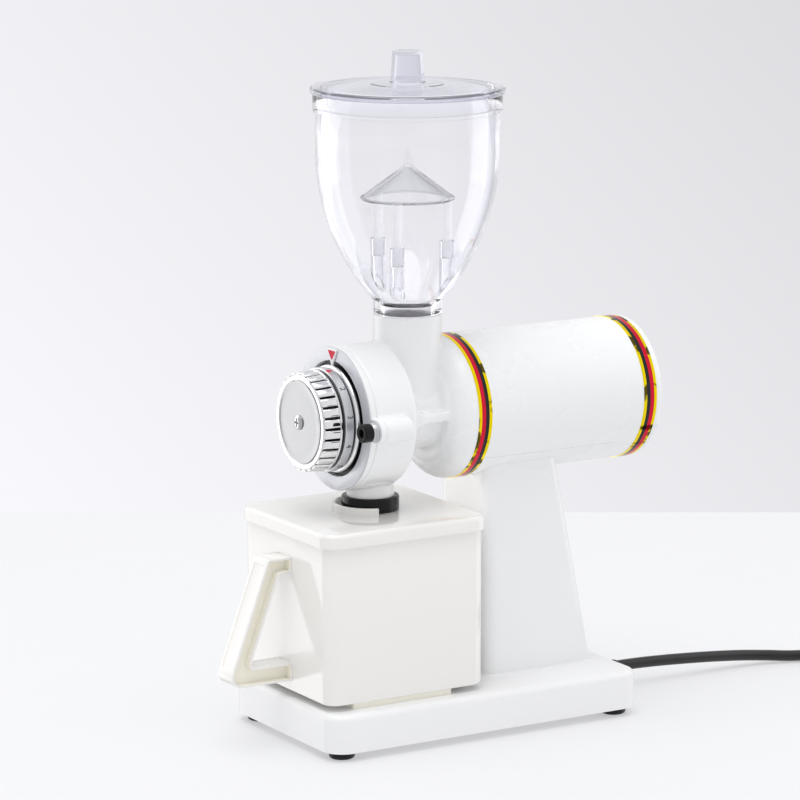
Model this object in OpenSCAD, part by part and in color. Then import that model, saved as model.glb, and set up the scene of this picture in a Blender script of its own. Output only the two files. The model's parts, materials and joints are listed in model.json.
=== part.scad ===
// Electric coffee grinder with flat burrs, a clear bean hopper and a pull-out grounds bin.
// Forward, where the dial faces, is -Y. Up is +Z. Lengths are millimetres.
// The origin lies on the table, under the middle of the grinder without its mains lead.
// Reaches are measured along Y from the hopper's upright axis.

/* [Whole grinder] */
// Height of the whole grinder, from the table to the top of the lid's knob
machine_h = 365; // [350:1:380]
// Height of the motor axis, as a share of that
axis_share = 0.4716; // [0.462:0.0002:0.48]

/* [Base] */
// Width of the base
base_w = 111; // [106:1:125]
// Reach of the base ahead of the hopper axis
base_front = 78.5; // [77:0.5:90]
// Reach of the base behind the hopper axis
base_rear = 116.5; // [112:0.5:130]
// Height of the base moulding without its feet
base_h = 20.5; // [18:0.5:30]
// Corner radius of the base, seen from above
base_corner_r = 12; // [9:1:18]
// Radius along the top edge of the base
base_edge_r = 3.5; // [2:0.5:5]
// Wall of the base moulding
base_wall = 3; // [2:0.5:4]
// Thickness of the steel bottom plate
bottom_t = 1.5; // [1:0.25:2.5]
// Diameter of a rubber foot
foot_d = 14.5; // [12:0.5:18]
// Height of a rubber foot
foot_h = 4.5; // [3.5:0.5:8]
// Distance from a foot's centre to the sides of the base
foot_inset = 11.5; // [10.5:0.5:14]
// Height of the raised pad that the bin slides on
pad_h = 3.2; // [2:0.1:5]
// Width of that pad
pad_w = 89; // [70:1:91]
// Length of that pad
pad_len = 61; // [50:1:72]

/* [Column] */
// Width of the column
column_w = 50; // [44:1:56]
// Reach of the column's front face behind the hopper axis
column_front = 35; // [32:0.5:38]
// Depth of the column where it stands on the base
column_depth = 70; // [66:1:74]
// Lean of the column's rear face
column_lean = 11.6; // [8:0.2:13]
// Radius of the column's upright edges
column_edge_r = 7; // [4:0.5:9]
// Wall of the column
column_wall = 3; // [2.5:0.5:4]

/* [Motor] */
// Outer diameter of the motor housing
motor_d = 78; // [76:0.5:84]
// Wall of the motor housing tube
motor_wall = 2.5; // [2:0.25:3]
// Reach of the joint between the grinder body and the housing
motor_front = 25; // [24:0.5:28]
// Reach of the motor's rear end
motor_rear = 140; // [138:0.5:150]
// Length of the rear cap outside the housing
cap_len = 9; // [8:0.5:12]
// Width of a stripe band
band_w = 8.2; // [6:0.2:10]
// Thickness of a stripe band
band_t = 0.25; // [0.2:0.05:0.4]
// Diameter of the motor shaft
shaft_d = 10; // [8:0.5:11]
// Outer diameter of a ball bearing
bearing_d = 26; // [24:0.5:28]
// Width of a ball bearing
bearing_w = 8; // [6:0.5:9]
// Length of the stator's iron stack
stator_len = 50; // [40:1:54]
// Diameter of the rotor
rotor_d = 41.2; // [36:0.2:44]
// Air gap between the rotor and the stator, on the radius
air_gap = 0.4; // [0.3:0.05:0.6]
// Length of a winding head beyond the stack
winding_len = 11; // [8:0.5:12]

/* [Grinding head] */
// Outer diameter of the burr chamber
head_d = 77.2; // [75:0.2:80]
// Reach of the chamber's rear wall ahead of the hopper axis
head_back = 16.2; // [15:0.2:18]
// Depth of the cast chamber
head_len = 25.6; // [25:0.2:30]
// Wall of the chamber round the burrs
head_wall = 5.6; // [4:0.2:6]
// Thickness of the chamber's rear wall
head_rear_wall = 4; // [3.6:0.2:4.4]
// Thickness of the white front cover
cover_t = 3.5; // [3:0.25:5]
// Thickness of the grey face plate
face_t = 0.8; // [0.6:0.1:1.2]
// Inner diameter of the grey face plate
face_bore_d = 62; // [59:0.5:66]
// Distance of a cover screw from the motor axis
ear_reach = 43; // [42:0.5:46]
// Radius of the ears that hold the cover screws
ear_r = 6.4; // [5.6:0.2:7]
// Diameter of a burr
burr_d = 60; // [56:0.5:61]
// Thickness of a burr
burr_t = 5.5; // [5:0.25:6]
// Gap between the burrs at the finest setting
burr_gap = 0.3; // [0.2:0.05:0.5]
// Thickness of the rotating burr's holder
holder_t = 4; // [3.5:0.25:4.5]
// Bore of the fixed burr, which the beans pass
burr_bore_d = 32; // [31:0.5:34]
// Outer diameter of the throat behind the chamber
throat_d = 43; // [40:0.5:46]
// Bore of the throat, where the auger turns
throat_bore_d = 31; // [28:0.5:31.5]
// Reach of the bell's front face behind the hopper axis
bell_front = 10; // [9:0.5:12]
// Radius of the bell's rounded shoulder
bell_r = 10; // [8:0.5:12]
// Wall of the bell
bell_wall = 4; // [3:0.25:5]
// Outer diameter of the neck that carries the hopper
neck_d = 37; // [35.5:0.5:40]
// Bore of the neck
neck_bore_d = 30; // [27:0.5:31]
// Height of the neck's top above the motor axis
neck_h = 52.9; // [48:0.1:60]
// Thickness of the side ribs between chamber and bell
rib_t = 4; // [3:0.5:6]
// Width over both side ribs
rib_w = 54; // [50:1:60]

/* [Spout] */
// Reach of the spout's axis ahead of the hopper axis
spout_y = 23.3; // [23:0.1:24.5]
// Outer diameter of the spout
spout_d = 25.8; // [24:0.2:28]
// Bore of the spout
spout_bore_d = 13.6; // [12:0.2:14]
// Outer diameter of the rubber ring on the spout
ring_d = 31; // [29:0.5:33]
// Height of the rubber ring
ring_h = 7.6; // [6:0.2:9]
// Depth of the ring's lower face below the motor axis
spout_drop = 51.2; // [50.2:0.2:55]
// Gap between the ring and the bin's lid
spout_gap = 0.3; // [0.2:0.1:1]

/* [Dial] */
// Outer diameter of the number ring
number_d = 55.6; // [52:0.2:57]
// Thickness of the number ring
number_t = 6.6; // [5:0.2:8]
// Gap between the face plate and the number ring
number_gap = 1.6; // [1.2:0.1:2.5]
// Width of the dark groove between number ring and knob
groove_w = 1.5; // [1:0.1:2.5]
// Diameter of the knob at its rear edge
knob_d = 54.2; // [50:0.2:56]
// Diameter of the knob at its front edge
knob_front_d = 51.8; // [48:0.2:54]
// Length of the knob
knob_len = 10.7; // [10:0.1:14]
// Number of flutes round the knob
flute_count = 28; // [20:1:32]
// Diameter of the knob's metal face disc
knob_face_d = 44.8; // [40:0.2:46]
// Diameter of the adjusting spindle
spindle_d = 10; // [8:0.5:11]

/* [Hopper] */
// Outer diameter of the hopper below its rim
hopper_d = 98; // [92:0.5:102]
// Diameter over the hopper's rim band
rim_d = 101; // [100:0.5:106]
// Height of the rim band
rim_h = 9.5; // [7:0.5:12]
// Radius of the hopper's curved shoulder
hopper_arc_r = 100; // [90:1:110]
// Half angle of the hopper's cone
hopper_angle = 29.5; // [27:0.5:31]
// Wall of the hopper
hopper_wall = 2.5; // [2:0.25:3]
// Height of the collar that sits on the neck
collar_h = 6.5; // [5:0.5:9]
// Length of the spigot inside the neck
spigot_len = 16; // [12:1:20]
// Wall of that spigot
spigot_wall = 2.2; // [1.8:0.2:2.6]
// Diameter of the bean guard's cone
guard_d = 50.4; // [46:0.2:54]
// Height of the bean guard's cone
guard_h = 19.2; // [14:0.2:24]
// Height of the guard's rim above the collar
guard_rise = 54.8; // [50:0.2:60]
// Distance of a guard rod from the hopper axis
guard_rod_reach = 22; // [20:0.2:22]
// Diameter of a guard rod
guard_rod_d = 5.7; // [5:0.1:6]
// Height of a rod socket's mouth above the collar
socket_rise = 31.5; // [29:0.5:36]
// Diameter of the hopper's lid
lid_d = 103.6; // [102:0.2:110]
// Thickness of the lid's edge
lid_t = 3.2; // [2.5:0.1:5]
// Rise of the lid's dome
lid_rise = 2.4; // [1:0.1:4]
// Depth of the lid's skirt inside the hopper
skirt_h = 8; // [6:0.5:12]
// Height of the lid's knob
lid_knob_h = 16.5; // [12:0.5:20]
// Diameter of the lid's knob at its foot
lid_knob_d = 18; // [16:0.5:20]

/* [Bin] */
// Width of the bin
bin_w = 92.8; // [88:0.2:96]
// Reach of the bin's front ahead of the hopper axis
bin_front = 75.9; // [74:0.1:76.5]
// Length of the bin
bin_len = 97.2; // [92:0.2:102]
// Wall of the bin
bin_wall = 2.5; // [2:0.25:3]
// Corner radius of the bin
bin_corner_r = 8; // [6:0.5:12]
// Thickness of the bin's lid
bin_lid_t = 7.5; // [6:0.25:10]
// Overhang of the lid round the bin
bin_lid_over = 1.6; // [1:0.1:2.5]
// Height of the half collar on the lid
collar_rise = 4.2; // [3:0.2:5]
// Wall of the half collar on the lid
collar_wall = 1.6; // [1.2:0.1:2.4]
// Gap between the rubber ring and the half collar
collar_gap = 3.3; // [2:0.1:4]
// Reach of the half collar's ends ahead of the spout's axis
collar_cut = 6.2; // [3:0.2:10]
// Width of the handle
handle_w = 15.2; // [12:0.2:20]
// Reach of the handle's lower corner ahead of the bin, before it is rounded
handle_reach = 39.2; // [34:0.2:44]
// Reach of the handle's upper corner ahead of the bin
handle_top_reach = 14.3; // [12:0.1:18]
// Depth of the handle's top below the bin's rim
handle_drop = 11.4; // [11:0.2:20]
// Height of the handle's foot above the bin's floor
handle_foot = 6.2; // [5:0.1:10]
// Thickness of the handle's upper arm
handle_arm_t = 8.4; // [7:0.2:10]
// Thickness of the handle's lower arm
handle_foot_t = 9.8; // [8:0.2:12]
// Thickness of the handle's grip
handle_grip_t = 9.2; // [7:0.2:11]

/* [Switch] */
// Length of the rocker
rocker_len = 18; // [15:0.5:20]
// Width of the rocker
rocker_w = 11; // [9:0.5:13]
// Tilt of the rocker either side of level
rocker_tilt = 7; // [5:0.5:9]
// Depth of the rocker's pivot below the motor axis
switch_drop = 63.1; // [59:0.1:67]

/* [Mains lead] */
// Diameter of the mains lead
cord_d = 6.2; // [5.4:0.1:6.4]
// Length of the strain relief outside the base
boot_len = 20; // [16:0.5:22]
// Height of the lead's exit above the table
cord_z = 11.8; // [11:0.1:13]
// Turns in each layer of the put-away coil
coil_turns = 2; // [1:1:2]
// Distance between neighbouring turns and layers
coil_pitch = 6.8; // [6.7:0.05:7]
// Diameter of the plug's pins
pin_d = 4; // [3.6:0.1:4.8]
// Distance between the plug's pins
pin_gap = 19; // [16:0.5:20]

/* [Hidden] */
$fn = 64;

// Clearances: a press fit, a turning fit, a sliding fit and a loose fit, each on the radius,
// and the hair gap under a piece that rests on another and lifts or slides off
press_fit = 0.02;
turn_fit = 0.06;
slide_fit = 0.3;
loose_fit = 0.6;
rest_gap = 0.02;
// Screws, as shank radii
small_screw_r = 2;
big_screw_r = 2.5;

// Heights, from the table up: the bin fills the room between its pad and the spout,
// and the hopper the room between the neck and the lid
base_top = foot_h + base_h;
bin_z = base_top + pad_h + rest_gap;
motor_z = machine_h * axis_share;
ring_z = motor_z - spout_drop;
bin_lid_top = ring_z - spout_gap;
bin_top = bin_lid_top - bin_lid_t;
bin_h = bin_top - bin_z;
handle_top = bin_h - handle_drop;
switch_z = motor_z - switch_drop;
neck_top = motor_z + neck_h;
collar_top = neck_top + collar_h;
lid_knob_foot = machine_h - lid_knob_h;
lid_z = lid_knob_foot - lid_rise - lid_t;
hopper_top = lid_z - rest_gap;
rim_z = hopper_top - rim_h;

// The handle's grip leans, so its outer face reaches further ahead of the bin lower down
handle_top_r = 2;
handle_foot_r = 6;
grip_way = [handle_reach - handle_top_reach, handle_top - handle_foot];
grip_slant = norm(grip_way) / grip_way[1];
function grip_outer(z) = handle_top_reach + grip_way[0] * (handle_top - z) / grip_way[1];
handle_front = grip_outer(handle_foot + handle_foot_r) - (grip_slant - 1) * handle_foot_r;

// The grinder's middle, without the lead, is the origin
axis_y = (bin_front + handle_front - motor_rear) / 2;

// Radii
motor_r = motor_d / 2;
tube_r = motor_r - motor_wall;
shaft_r = shaft_d / 2;
bearing_r = bearing_d / 2;
head_r = head_d / 2;
chamber_r = head_r - head_wall;
burr_r = burr_d / 2;
collar_r = neck_d / 2 - 0.2;
spigot_r = neck_bore_d / 2 - slide_fit;
hopper_r = hopper_d / 2;
hopper_in_r = hopper_r - hopper_wall;
spout_r = spout_d / 2;
ring_r = ring_d / 2;

// Places along the motor axis
chamber_rear = -head_back - head_rear_wall;
head_front = -head_back - head_len;
cover_front = head_front - cover_t;
face_front = cover_front - face_t;
number_rear = face_front - number_gap;
number_front = number_rear - number_t;
knob_rear = number_front - groove_w;
knob_front = knob_rear - knob_len;
fixed_front = chamber_rear - burr_t;
turning_rear = fixed_front - burr_gap;
turning_front = turning_rear - burr_t;
holder_front = turning_front - holder_t;
hub_r = shaft_r + 4;
hub_front = holder_front - 1.6;
ball_r = 2.5;
ball_y = hub_front - 0.6;
spindle_rear = ball_y - ball_r - rest_gap;
bearing_wall = 4.5;
seat_front = bell_front + 2;
throat_end = seat_front - bearing_wall;
cap_front = motor_rear - cap_len;
rear_seat = cap_front - 13;
stator_front = motor_front + 17;
stator_rear = stator_front + stator_len;
auger_front = -head_back - 5;
auger_rear = throat_end - 1;
boss_r = 12;
boss_front = number_front - 0.4;
boss_room = 1.4;

// Chain of the hopper's outline
arc_centre = [hopper_r - hopper_arc_r,
    collar_top + (hopper_r - hopper_arc_r * (1 - cos(hopper_angle)) - collar_r) / tan(hopper_angle)
    + hopper_arc_r * sin(hopper_angle)];
guard_z = collar_top + guard_rise;
socket_top = collar_top + socket_rise;
guard_angles = [-45, 75, 195];

// Bearers of the switch, the capacitor and the screws
switch_y = column_front + 27;
capacitor_r = 13;
capacitor_y = column_front + column_wall + capacitor_r + 1;
column_boss_r = 5;

// Route of the lead's free stretch, from the strain relief to the coil
cord_r = cord_d / 2;
coil_centre = [55, 302];
coil_low_z = 4.1;
coil_turns_all = 2 * coil_turns + 0.5;
coil_mid_r = 34;
coil_out_r = coil_mid_r + coil_pitch * (coil_turns + 0.25) / 2;
boot_end = base_rear + boot_len;
cord_points = [[0, 150, 11.6], [0, 165, 11], [0, 180, 10.1], [0, 195, 9], [0, 210, 7.7], [0.5, 225, 6.2],
    [2.5, 240, 4.6], [7, 254, 3.5], [11, 266, 3.6], [13, 279, 3.9]];
cord_start = [coil_centre[0] - coil_out_r, coil_centre[1] - cord_d, coil_low_z];
cord_path = concat([[0, boot_end, cord_z], [0, boot_end + cord_d, cord_z]], cord_points,
    [cord_start - [0, 4, 0], cord_start]);

// Points of the coil: in along the lower layer, up a layer where it turns back, and out along the upper one
coil_steps = 24 * coil_turns_all;
function coil_radius(t) = coil_out_r - coil_pitch * (coil_turns + 0.25 - abs(t - coil_turns - 0.25));
function coil_height(t) = coil_low_z + coil_pitch * min(1, max(0, (t - coil_turns) * 2));
function coil_point(t) = let (a = 180 - 360 * t) [coil_centre[0] + coil_radius(t) * cos(a),
    coil_centre[1] + coil_radius(t) * sin(a), coil_height(t)];
coil_loops = [for (i = [0 : coil_steps]) coil_point(i / 24)];
coil_tail = 26;
coil_end = coil_loops[coil_steps] - [0, coil_tail, 0];
coil_path = concat([cord_start], coil_loops, [coil_end]);
coil_gap = min([for (i = [0 : coil_steps]) for (j = [i + 12 : 1 : coil_steps])
    norm(coil_loops[i] - coil_loops[j])]) - cord_d;
echo(coil_gap = coil_gap);

// Moves a piece drawn round the hopper axis to its place
module at_axis() translate([0, axis_y, 0]) children();

// Local +Z runs rearwards along the motor axis, from reach y
module along_motor(y) translate([0, y, motor_z]) rotate([-90, 0, 0]) children();

// Points of an arc
function arc(centre, r, a0, a1, n = 10) =
    [for (i = [0 : n]) let (a = a0 + (a1 - a0) * i / n) centre + r * [cos(a), sin(a)]];

module pipe(r, bore_r, h) difference() {
    cylinder(r = r, h = h);
    translate([0, 0, -1]) cylinder(r = bore_r, h = h + 2);
}

// A flat rectangle with round corners, half_w either side of the middle
module rounded(half_w, y0, y1, r) {
    translate([r - half_w, y0]) square([2 * (half_w - r), y1 - y0]);
    translate([-half_w, y0 + r]) square([2 * half_w, y1 - y0 - 2 * r]);
    for (x = [r - half_w, half_w - r], y = [y0 + r, y1 - r]) translate([x, y]) circle(r);
}

// A screw that points along local +Z, with its head below z = 0
module screw(r, len, head_r, head_h) {
    cylinder(r = r, h = len);
    translate([0, 0, -head_h]) cylinder(r = head_r, h = head_h);
}

// A tube of given sides along a path of points
function ring_at(path, i, r, sides) = let (
    last = len(path) - 1,
    way = path[min(i + 1, last)] - path[max(i - 1, 0)],
    t = way / norm(way),
    side = cross(t, [0, 0, 1]) / norm(cross(t, [0, 0, 1])),
    up = cross(side, t))
    [for (k = [0 : sides - 1]) let (a = 360 * (k + 0.5) / sides)
        path[i] + r * (cos(a) * side + sin(a) * up)];
module tube(path, r, sides) {
    rings = len(path);
    points = [for (i = [0 : rings - 1]) each ring_at(path, i, r, sides)];
    walls = [for (i = [0 : rings - 2], k = [0 : sides - 1]) let (
        a = i * sides + k,
        b = i * sides + (k + 1) % sides) each [[a, b, b + sides], [a, b + sides, a + sides]]];
    front = [for (k = [1 : sides - 2]) [0, k + 1, k]];
    last = (rings - 1) * sides;
    back = [for (k = [1 : sides - 2]) [last, last + k, last + k + 1]];
    polyhedron(points = points, faces = concat(walls, front, back));
}

// Base: moulding, bottom plate and feet
foot_spots = [for (x = [-1, 1], y = [-base_front + foot_inset, base_rear - foot_inset])
    [x * (base_w / 2 - foot_inset), y]];
function column_rear(z) = column_front + column_depth - (z - base_top) * tan(column_lean);
column_boss_h = 16;
column_spots = [for (x = [-1, 1], y = [column_front + column_wall + column_boss_r - 1,
    column_rear(base_top + column_boss_h) - column_wall - column_boss_r + 1])
    [x * (column_w / 2 - column_wall - column_boss_r + 1), y]];
wire_hole = [0, column_front + column_depth - 22];
boot_neck_r = cord_r + 1.6;
boot_r = cord_r + 3;
bottom_z = foot_h + bottom_t;
base_boss_r = 5.5;
pad_rear = 1;
pad_corner_r = 1.2;

module base_form() hull() for (x = [-1, 1], y = [base_corner_r - base_front, base_rear - base_corner_r])
    translate([x * (base_w / 2 - base_corner_r), y, foot_h]) {
        cylinder(r = base_corner_r, h = base_h - base_edge_r, $fn = 32);
        translate([0, 0, base_h - base_edge_r]) rotate_extrude($fn = 32)
            translate([base_corner_r - base_edge_r, 0]) circle(base_edge_r, $fn = 32);
    }

module base_shell() color("whitesmoke") at_axis() difference() {
    union() {
        difference() {
            base_form();
            translate([0, 0, foot_h - 1]) linear_extrude(base_h - base_wall + 1)
                rounded(base_w / 2 - base_wall, base_wall - base_front, base_rear - base_wall,
                    base_corner_r - base_wall);
        }
        for (spot = foot_spots) translate([spot[0], spot[1], bottom_z])
            cylinder(r = base_boss_r, h = base_top - bottom_z - base_wall / 2);
        translate([0, 0, base_top - base_wall / 2]) linear_extrude(pad_h + base_wall / 2)
            rounded(pad_w / 2, pad_rear - pad_len, pad_rear, pad_corner_r);
    }
    for (spot = foot_spots) translate([spot[0], spot[1], bottom_z - 1])
        cylinder(r = small_screw_r + press_fit, h = base_top - bottom_z - base_wall);
    for (spot = column_spots) translate([spot[0], spot[1], base_top - base_wall - 1])
        cylinder(r = small_screw_r + slide_fit, h = base_wall + 2);
    translate([wire_hole[0], wire_hole[1], base_top - base_wall - 1]) cylinder(r = 6, h = base_wall + 2);
    translate([0, base_rear - base_wall - 1, cord_z]) rotate([-90, 0, 0])
        cylinder(r = boot_neck_r + press_fit, h = base_wall + 2);
}

module bottom_plate() color("darkgray") at_axis() difference() {
    translate([0, 0, foot_h]) linear_extrude(bottom_t)
        rounded(base_w / 2 - base_wall - slide_fit, base_wall + slide_fit - base_front,
            base_rear - base_wall - slide_fit, base_corner_r - base_wall - slide_fit);
    for (spot = foot_spots) translate([spot[0], spot[1], 0])
        cylinder(r = small_screw_r + slide_fit, h = bottom_z + 1);
}

module rubber_feet() color("#1c1c1e") at_axis() for (spot = foot_spots)
    translate([spot[0], spot[1], 0]) difference() {
        cylinder(r1 = foot_d / 2 - 0.6, r2 = foot_d / 2, h = foot_h);
        translate([0, 0, -1]) cylinder(r = small_screw_r * 2, h = 1 + foot_h / 2);
        translate([0, 0, -1]) cylinder(r = small_screw_r + slide_fit, h = foot_h + 2);
    }

module foot_screws() color("silver") at_axis() for (spot = foot_spots)
    translate([spot[0], spot[1], foot_h / 2]) screw(small_screw_r, base_h / 2, small_screw_r * 1.8, 1.4);

// Column
// Upright front and sides, and a rear face that leans forward
module column_form(inset, z0) intersection() {
    edge = max(1, column_edge_r - inset);
    translate([0, 0, z0]) linear_extrude(motor_z - z0)
        rounded(column_w / 2 - inset, column_front + inset, column_front + 2 * column_depth, edge);
    translate([0, column_front + column_depth, base_top]) rotate([column_lean, 0, 0])
        translate([0, 0, -column_depth]) linear_extrude(motor_z + column_depth)
            rounded(column_w / 2 - inset, -2 * column_depth, -inset, edge);
}

saddle_inset = 13;
saddle_gap = 18;
saddle_spots = [column_front + saddle_inset, column_front + saddle_inset + saddle_gap];
bezel_h = rocker_len + 6;
bezel_w = rocker_w + 6;
switch_body_h = rocker_len + 3.4;
switch_body_w = rocker_w + 3.4;

module stand_column() color("whitesmoke") at_axis() difference() {
    union() {
        difference() {
            column_form(0, base_top);
            difference() {
                column_form(column_wall, base_top - 1);
                along_motor(0) cylinder(r = motor_r + column_wall, h = motor_rear);
            }
        }
        for (spot = column_spots) translate([spot[0], spot[1], base_top])
            cylinder(r = column_boss_r, h = column_boss_h);
    }
    along_motor(0) cylinder(r = motor_r + press_fit, h = motor_rear);
    for (spot = column_spots) translate([spot[0], spot[1], base_top - 1])
        cylinder(r = small_screw_r + press_fit, h = column_boss_h - 2);
    for (y = saddle_spots) translate([0, y, motor_z - motor_r - column_wall - 1])
        cylinder(r = big_screw_r + slide_fit, h = column_wall + 2);
    translate([-column_w / 2 - 1, switch_y - switch_body_w / 2 - slide_fit, switch_z - switch_body_h / 2
        - slide_fit]) cube([column_wall + 2, switch_body_w + 2 * slide_fit, switch_body_h + 2 * slide_fit]);
}

module column_screws() color("silver") at_axis() for (spot = column_spots)
    translate([spot[0], spot[1], base_top - base_wall])
        screw(small_screw_r, base_wall + column_boss_h - 5, small_screw_r * 1.9, 2.4);

module saddle_screws() color("silver") at_axis() for (y = saddle_spots)
    translate([0, y, motor_z - motor_r - column_wall])
        screw(big_screw_r, column_wall + motor_wall - 0.2, big_screw_r * 1.7, 3);

// Motor
sleeve_r = tube_r - press_fit;
sleeve_len = 6;

module motor_housing() color("whitesmoke") at_axis() difference() {
    along_motor(motor_front) pipe(motor_r, tube_r, cap_front - motor_front);
    for (y = saddle_spots) translate([0, y, motor_z - motor_r - 1])
        cylinder(r = big_screw_r + press_fit, h = motor_wall + 2);
}

module band(y) along_motor(y - band_w / 2) pipe(motor_r + band_t, motor_r + press_fit, band_w);
module front_band() color("gold") at_axis() band(motor_front);
module rear_band() color("gold") at_axis() band(cap_front);

module stator_core() color("slategray") at_axis() along_motor(stator_front)
    pipe(sleeve_r, rotor_d / 2 + air_gap, stator_len);

module stator_windings() color("#b87333") at_axis() for (y = [stator_front - winding_len, stator_rear])
    along_motor(y) pipe(tube_r - 4, rotor_d / 2 + 3, winding_len);

module bearing(y) along_motor(y) pipe(bearing_r, shaft_r + turn_fit, bearing_w);
module front_bearing() color("lightsteelblue") at_axis() bearing(seat_front);
module rear_bearing() color("lightsteelblue") at_axis() bearing(rear_seat);

// Vent rows, each as its radius and its number of holes
vent_rows = [[22, 12], [28, 16]];
vent_r = 1.8;
cap_edge_r = 3;
cap_plate_t = 4;

module rear_cap() color("whitesmoke") at_axis() difference() {
    along_motor(0) union() {
        rotate_extrude() difference() {
            polygon(concat([[0, cap_front - sleeve_len], [sleeve_r, cap_front - sleeve_len],
                [sleeve_r, cap_front], [motor_r, cap_front]],
                arc([motor_r - cap_edge_r, motor_rear - cap_edge_r], cap_edge_r, 0, 90),
                [[0, motor_rear]]));
            translate([0, cap_front - sleeve_len - 1])
                square([sleeve_r - 2, cap_len + sleeve_len - cap_plate_t + 1]);
        }
        translate([0, 0, rear_seat]) cylinder(r = bearing_r + 3, h = motor_rear - rear_seat - 1);
    }
    along_motor(rear_seat - 1) cylinder(r = bearing_r + press_fit, h = bearing_w + 1);
    along_motor(rear_seat) cylinder(r = shaft_r + 2, h = bearing_w + 3);
    for (row = vent_rows, i = [1 : row[1]]) along_motor(motor_rear - cap_plate_t - 1)
        rotate(360 * i / row[1]) translate([row[0], 0, 0]) cylinder(r = vent_r, h = cap_plate_t + 2);
}

shaft_front = turning_front - holder_t / 2;
pin_r = 1.5;
pin_y = turning_front + 1.6;

module motor_shaft() color("silver") at_axis() difference() {
    along_motor(shaft_front) cylinder(r = shaft_r, h = rear_seat + bearing_w - shaft_front);
    translate([-shaft_r - 1, pin_y, motor_z]) rotate([0, 90, 0])
        cylinder(r = pin_r + press_fit, h = shaft_d + 2);
}

module rotor_core() color("gray") at_axis() along_motor(stator_front)
    pipe(rotor_d / 2, shaft_r + press_fit, stator_len);

fan_y = stator_rear + winding_len + 2;
fan_h = 7;
fan_blades = 9;
module cooling_fan() color("dimgray") at_axis() along_motor(fan_y) difference() {
    union() {
        cylinder(r = shaft_r + 4, h = fan_h);
        for (i = [1 : fan_blades]) rotate(360 * i / fan_blades) translate([shaft_r + 2, 0, fan_h / 2])
            rotate([35, 0, 0]) translate([0, -4, -0.8]) cube([tube_r - shaft_r - 8, 8, 1.6]);
    }
    translate([0, 0, -1]) cylinder(r = shaft_r + press_fit, h = fan_h + 2);
}

// Grinder body: chamber, throat, neck, bell and spout in one casting
head_edge_r = 3;
ear_len = 16.8;
burr_screw_reach = (burr_r + burr_bore_d / 2) / 2;
burr_screw_turn = [30, 150, 270];
seat_r = bearing_r + press_fit;

module ear(y, len, r = ear_r) for (x = [-1, 1]) along_motor(y) {
    translate([x * ear_reach, 0, 0]) cylinder(r = r, h = len);
    translate([x > 0 ? head_r - head_wall / 2 : -ear_reach, -r, 0])
        cube([ear_reach - head_r + head_wall / 2, 2 * r, len]);
}
module ear_holes(y, r, len) for (x = [-1, 1]) along_motor(y) translate([x * ear_reach, 0, 0])
    cylinder(r = r, h = len);
module burr_holes(y, r, len) for (a = burr_screw_turn) along_motor(y) rotate(a)
    translate([burr_screw_reach, 0, 0]) cylinder(r = r, h = len);

module grinder_body_form() {
    along_motor(0) rotate_extrude() polygon(concat([[0, head_front], [head_r, head_front]],
        arc([head_r - head_edge_r, -head_back - head_edge_r], head_edge_r, 0, 90), [[0, -head_back]]));
    ear(head_front, ear_len);
    along_motor(-head_back - 1) cylinder(r = throat_d / 2, h = bell_front + head_back + 2);
    translate([0, 0, motor_z]) cylinder(r = neck_d / 2, h = neck_h);
    translate([-rib_w / 2, -head_back - 1, motor_z - rib_t / 2])
        cube([rib_w, bell_front + head_back + 2, rib_t]);
    translate([0, -spout_y, ring_z + 0.4]) cylinder(r = spout_r, h = spout_drop - chamber_r - 0.4);
    difference() {
        along_motor(0) rotate_extrude() polygon(concat([[0, bell_front]],
            arc([motor_r - bell_r, bell_front + bell_r], bell_r, -90, 0),
            [[motor_r, motor_front], [sleeve_r, motor_front], [sleeve_r, motor_front + sleeve_len],
            [0, motor_front + sleeve_len]]));
        along_motor(0) rotate_extrude() polygon(concat([[0, bell_front + bell_wall]],
            arc([motor_r - bell_r, bell_front + bell_r], bell_r - bell_wall, -90, 0),
            [[motor_r - bell_wall, motor_front + sleeve_len + 1], [0, motor_front + sleeve_len + 1]]));
    }
    along_motor(bell_front) cylinder(r = bearing_r + 3, h = seat_front + bearing_w - bell_front);
}

module grinder_body() color("whitesmoke") at_axis() difference() {
    grinder_body_form();
    along_motor(head_front - 1) cylinder(r = chamber_r, h = chamber_rear - head_front + 1);
    along_motor(chamber_rear - 1) cylinder(r = throat_bore_d / 2, h = throat_end - chamber_rear + 1);
    translate([0, 0, motor_z]) cylinder(r = neck_bore_d / 2, h = neck_h + 1);
    along_motor(throat_end - 1) cylinder(r = shaft_r + slide_fit, h = bearing_wall + 2);
    along_motor(seat_front) cylinder(r = seat_r, h = bearing_w + 1);
    translate([0, -spout_y, ring_z - 1]) cylinder(r = spout_bore_d / 2, h = spout_drop - chamber_r + 3);
    ear_holes(head_front - 1, big_screw_r + press_fit, ear_len - 3);
    burr_holes(chamber_rear - 1, small_screw_r + press_fit, head_rear_wall + 0.4);
}

module spout_ring() color("#1c1c1e") at_axis() translate([0, -spout_y, ring_z])
    pipe(ring_r, spout_r + press_fit, ring_h);

// Front cover with its face plate, screws and pointer
recess_h = 1.8;
lip_h = 1.4;
// The grey plate's lobes are this much smaller than the ears behind them
face_inset = 0.8;
module front_cover() color("whitesmoke") at_axis() difference() {
    union() {
        difference() {
            union() {
                along_motor(cover_front) cylinder(r = head_r, h = cover_t);
                ear(cover_front, cover_t);
            }
            along_motor(cover_front - 1) cylinder(r = face_bore_d / 2, h = recess_h + 1);
        }
        along_motor(head_front) pipe(chamber_r - press_fit, chamber_r - 2, lip_h);
        along_motor(boss_front) cylinder(r = boss_r, h = cover_front + recess_h - boss_front);
    }
    along_motor(boss_front - 1) cylinder(r = spindle_d / 2 + turn_fit, h = head_front - boss_front + 2);
    ear_holes(cover_front - 1, big_screw_r + slide_fit, cover_t + 2);
}

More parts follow.
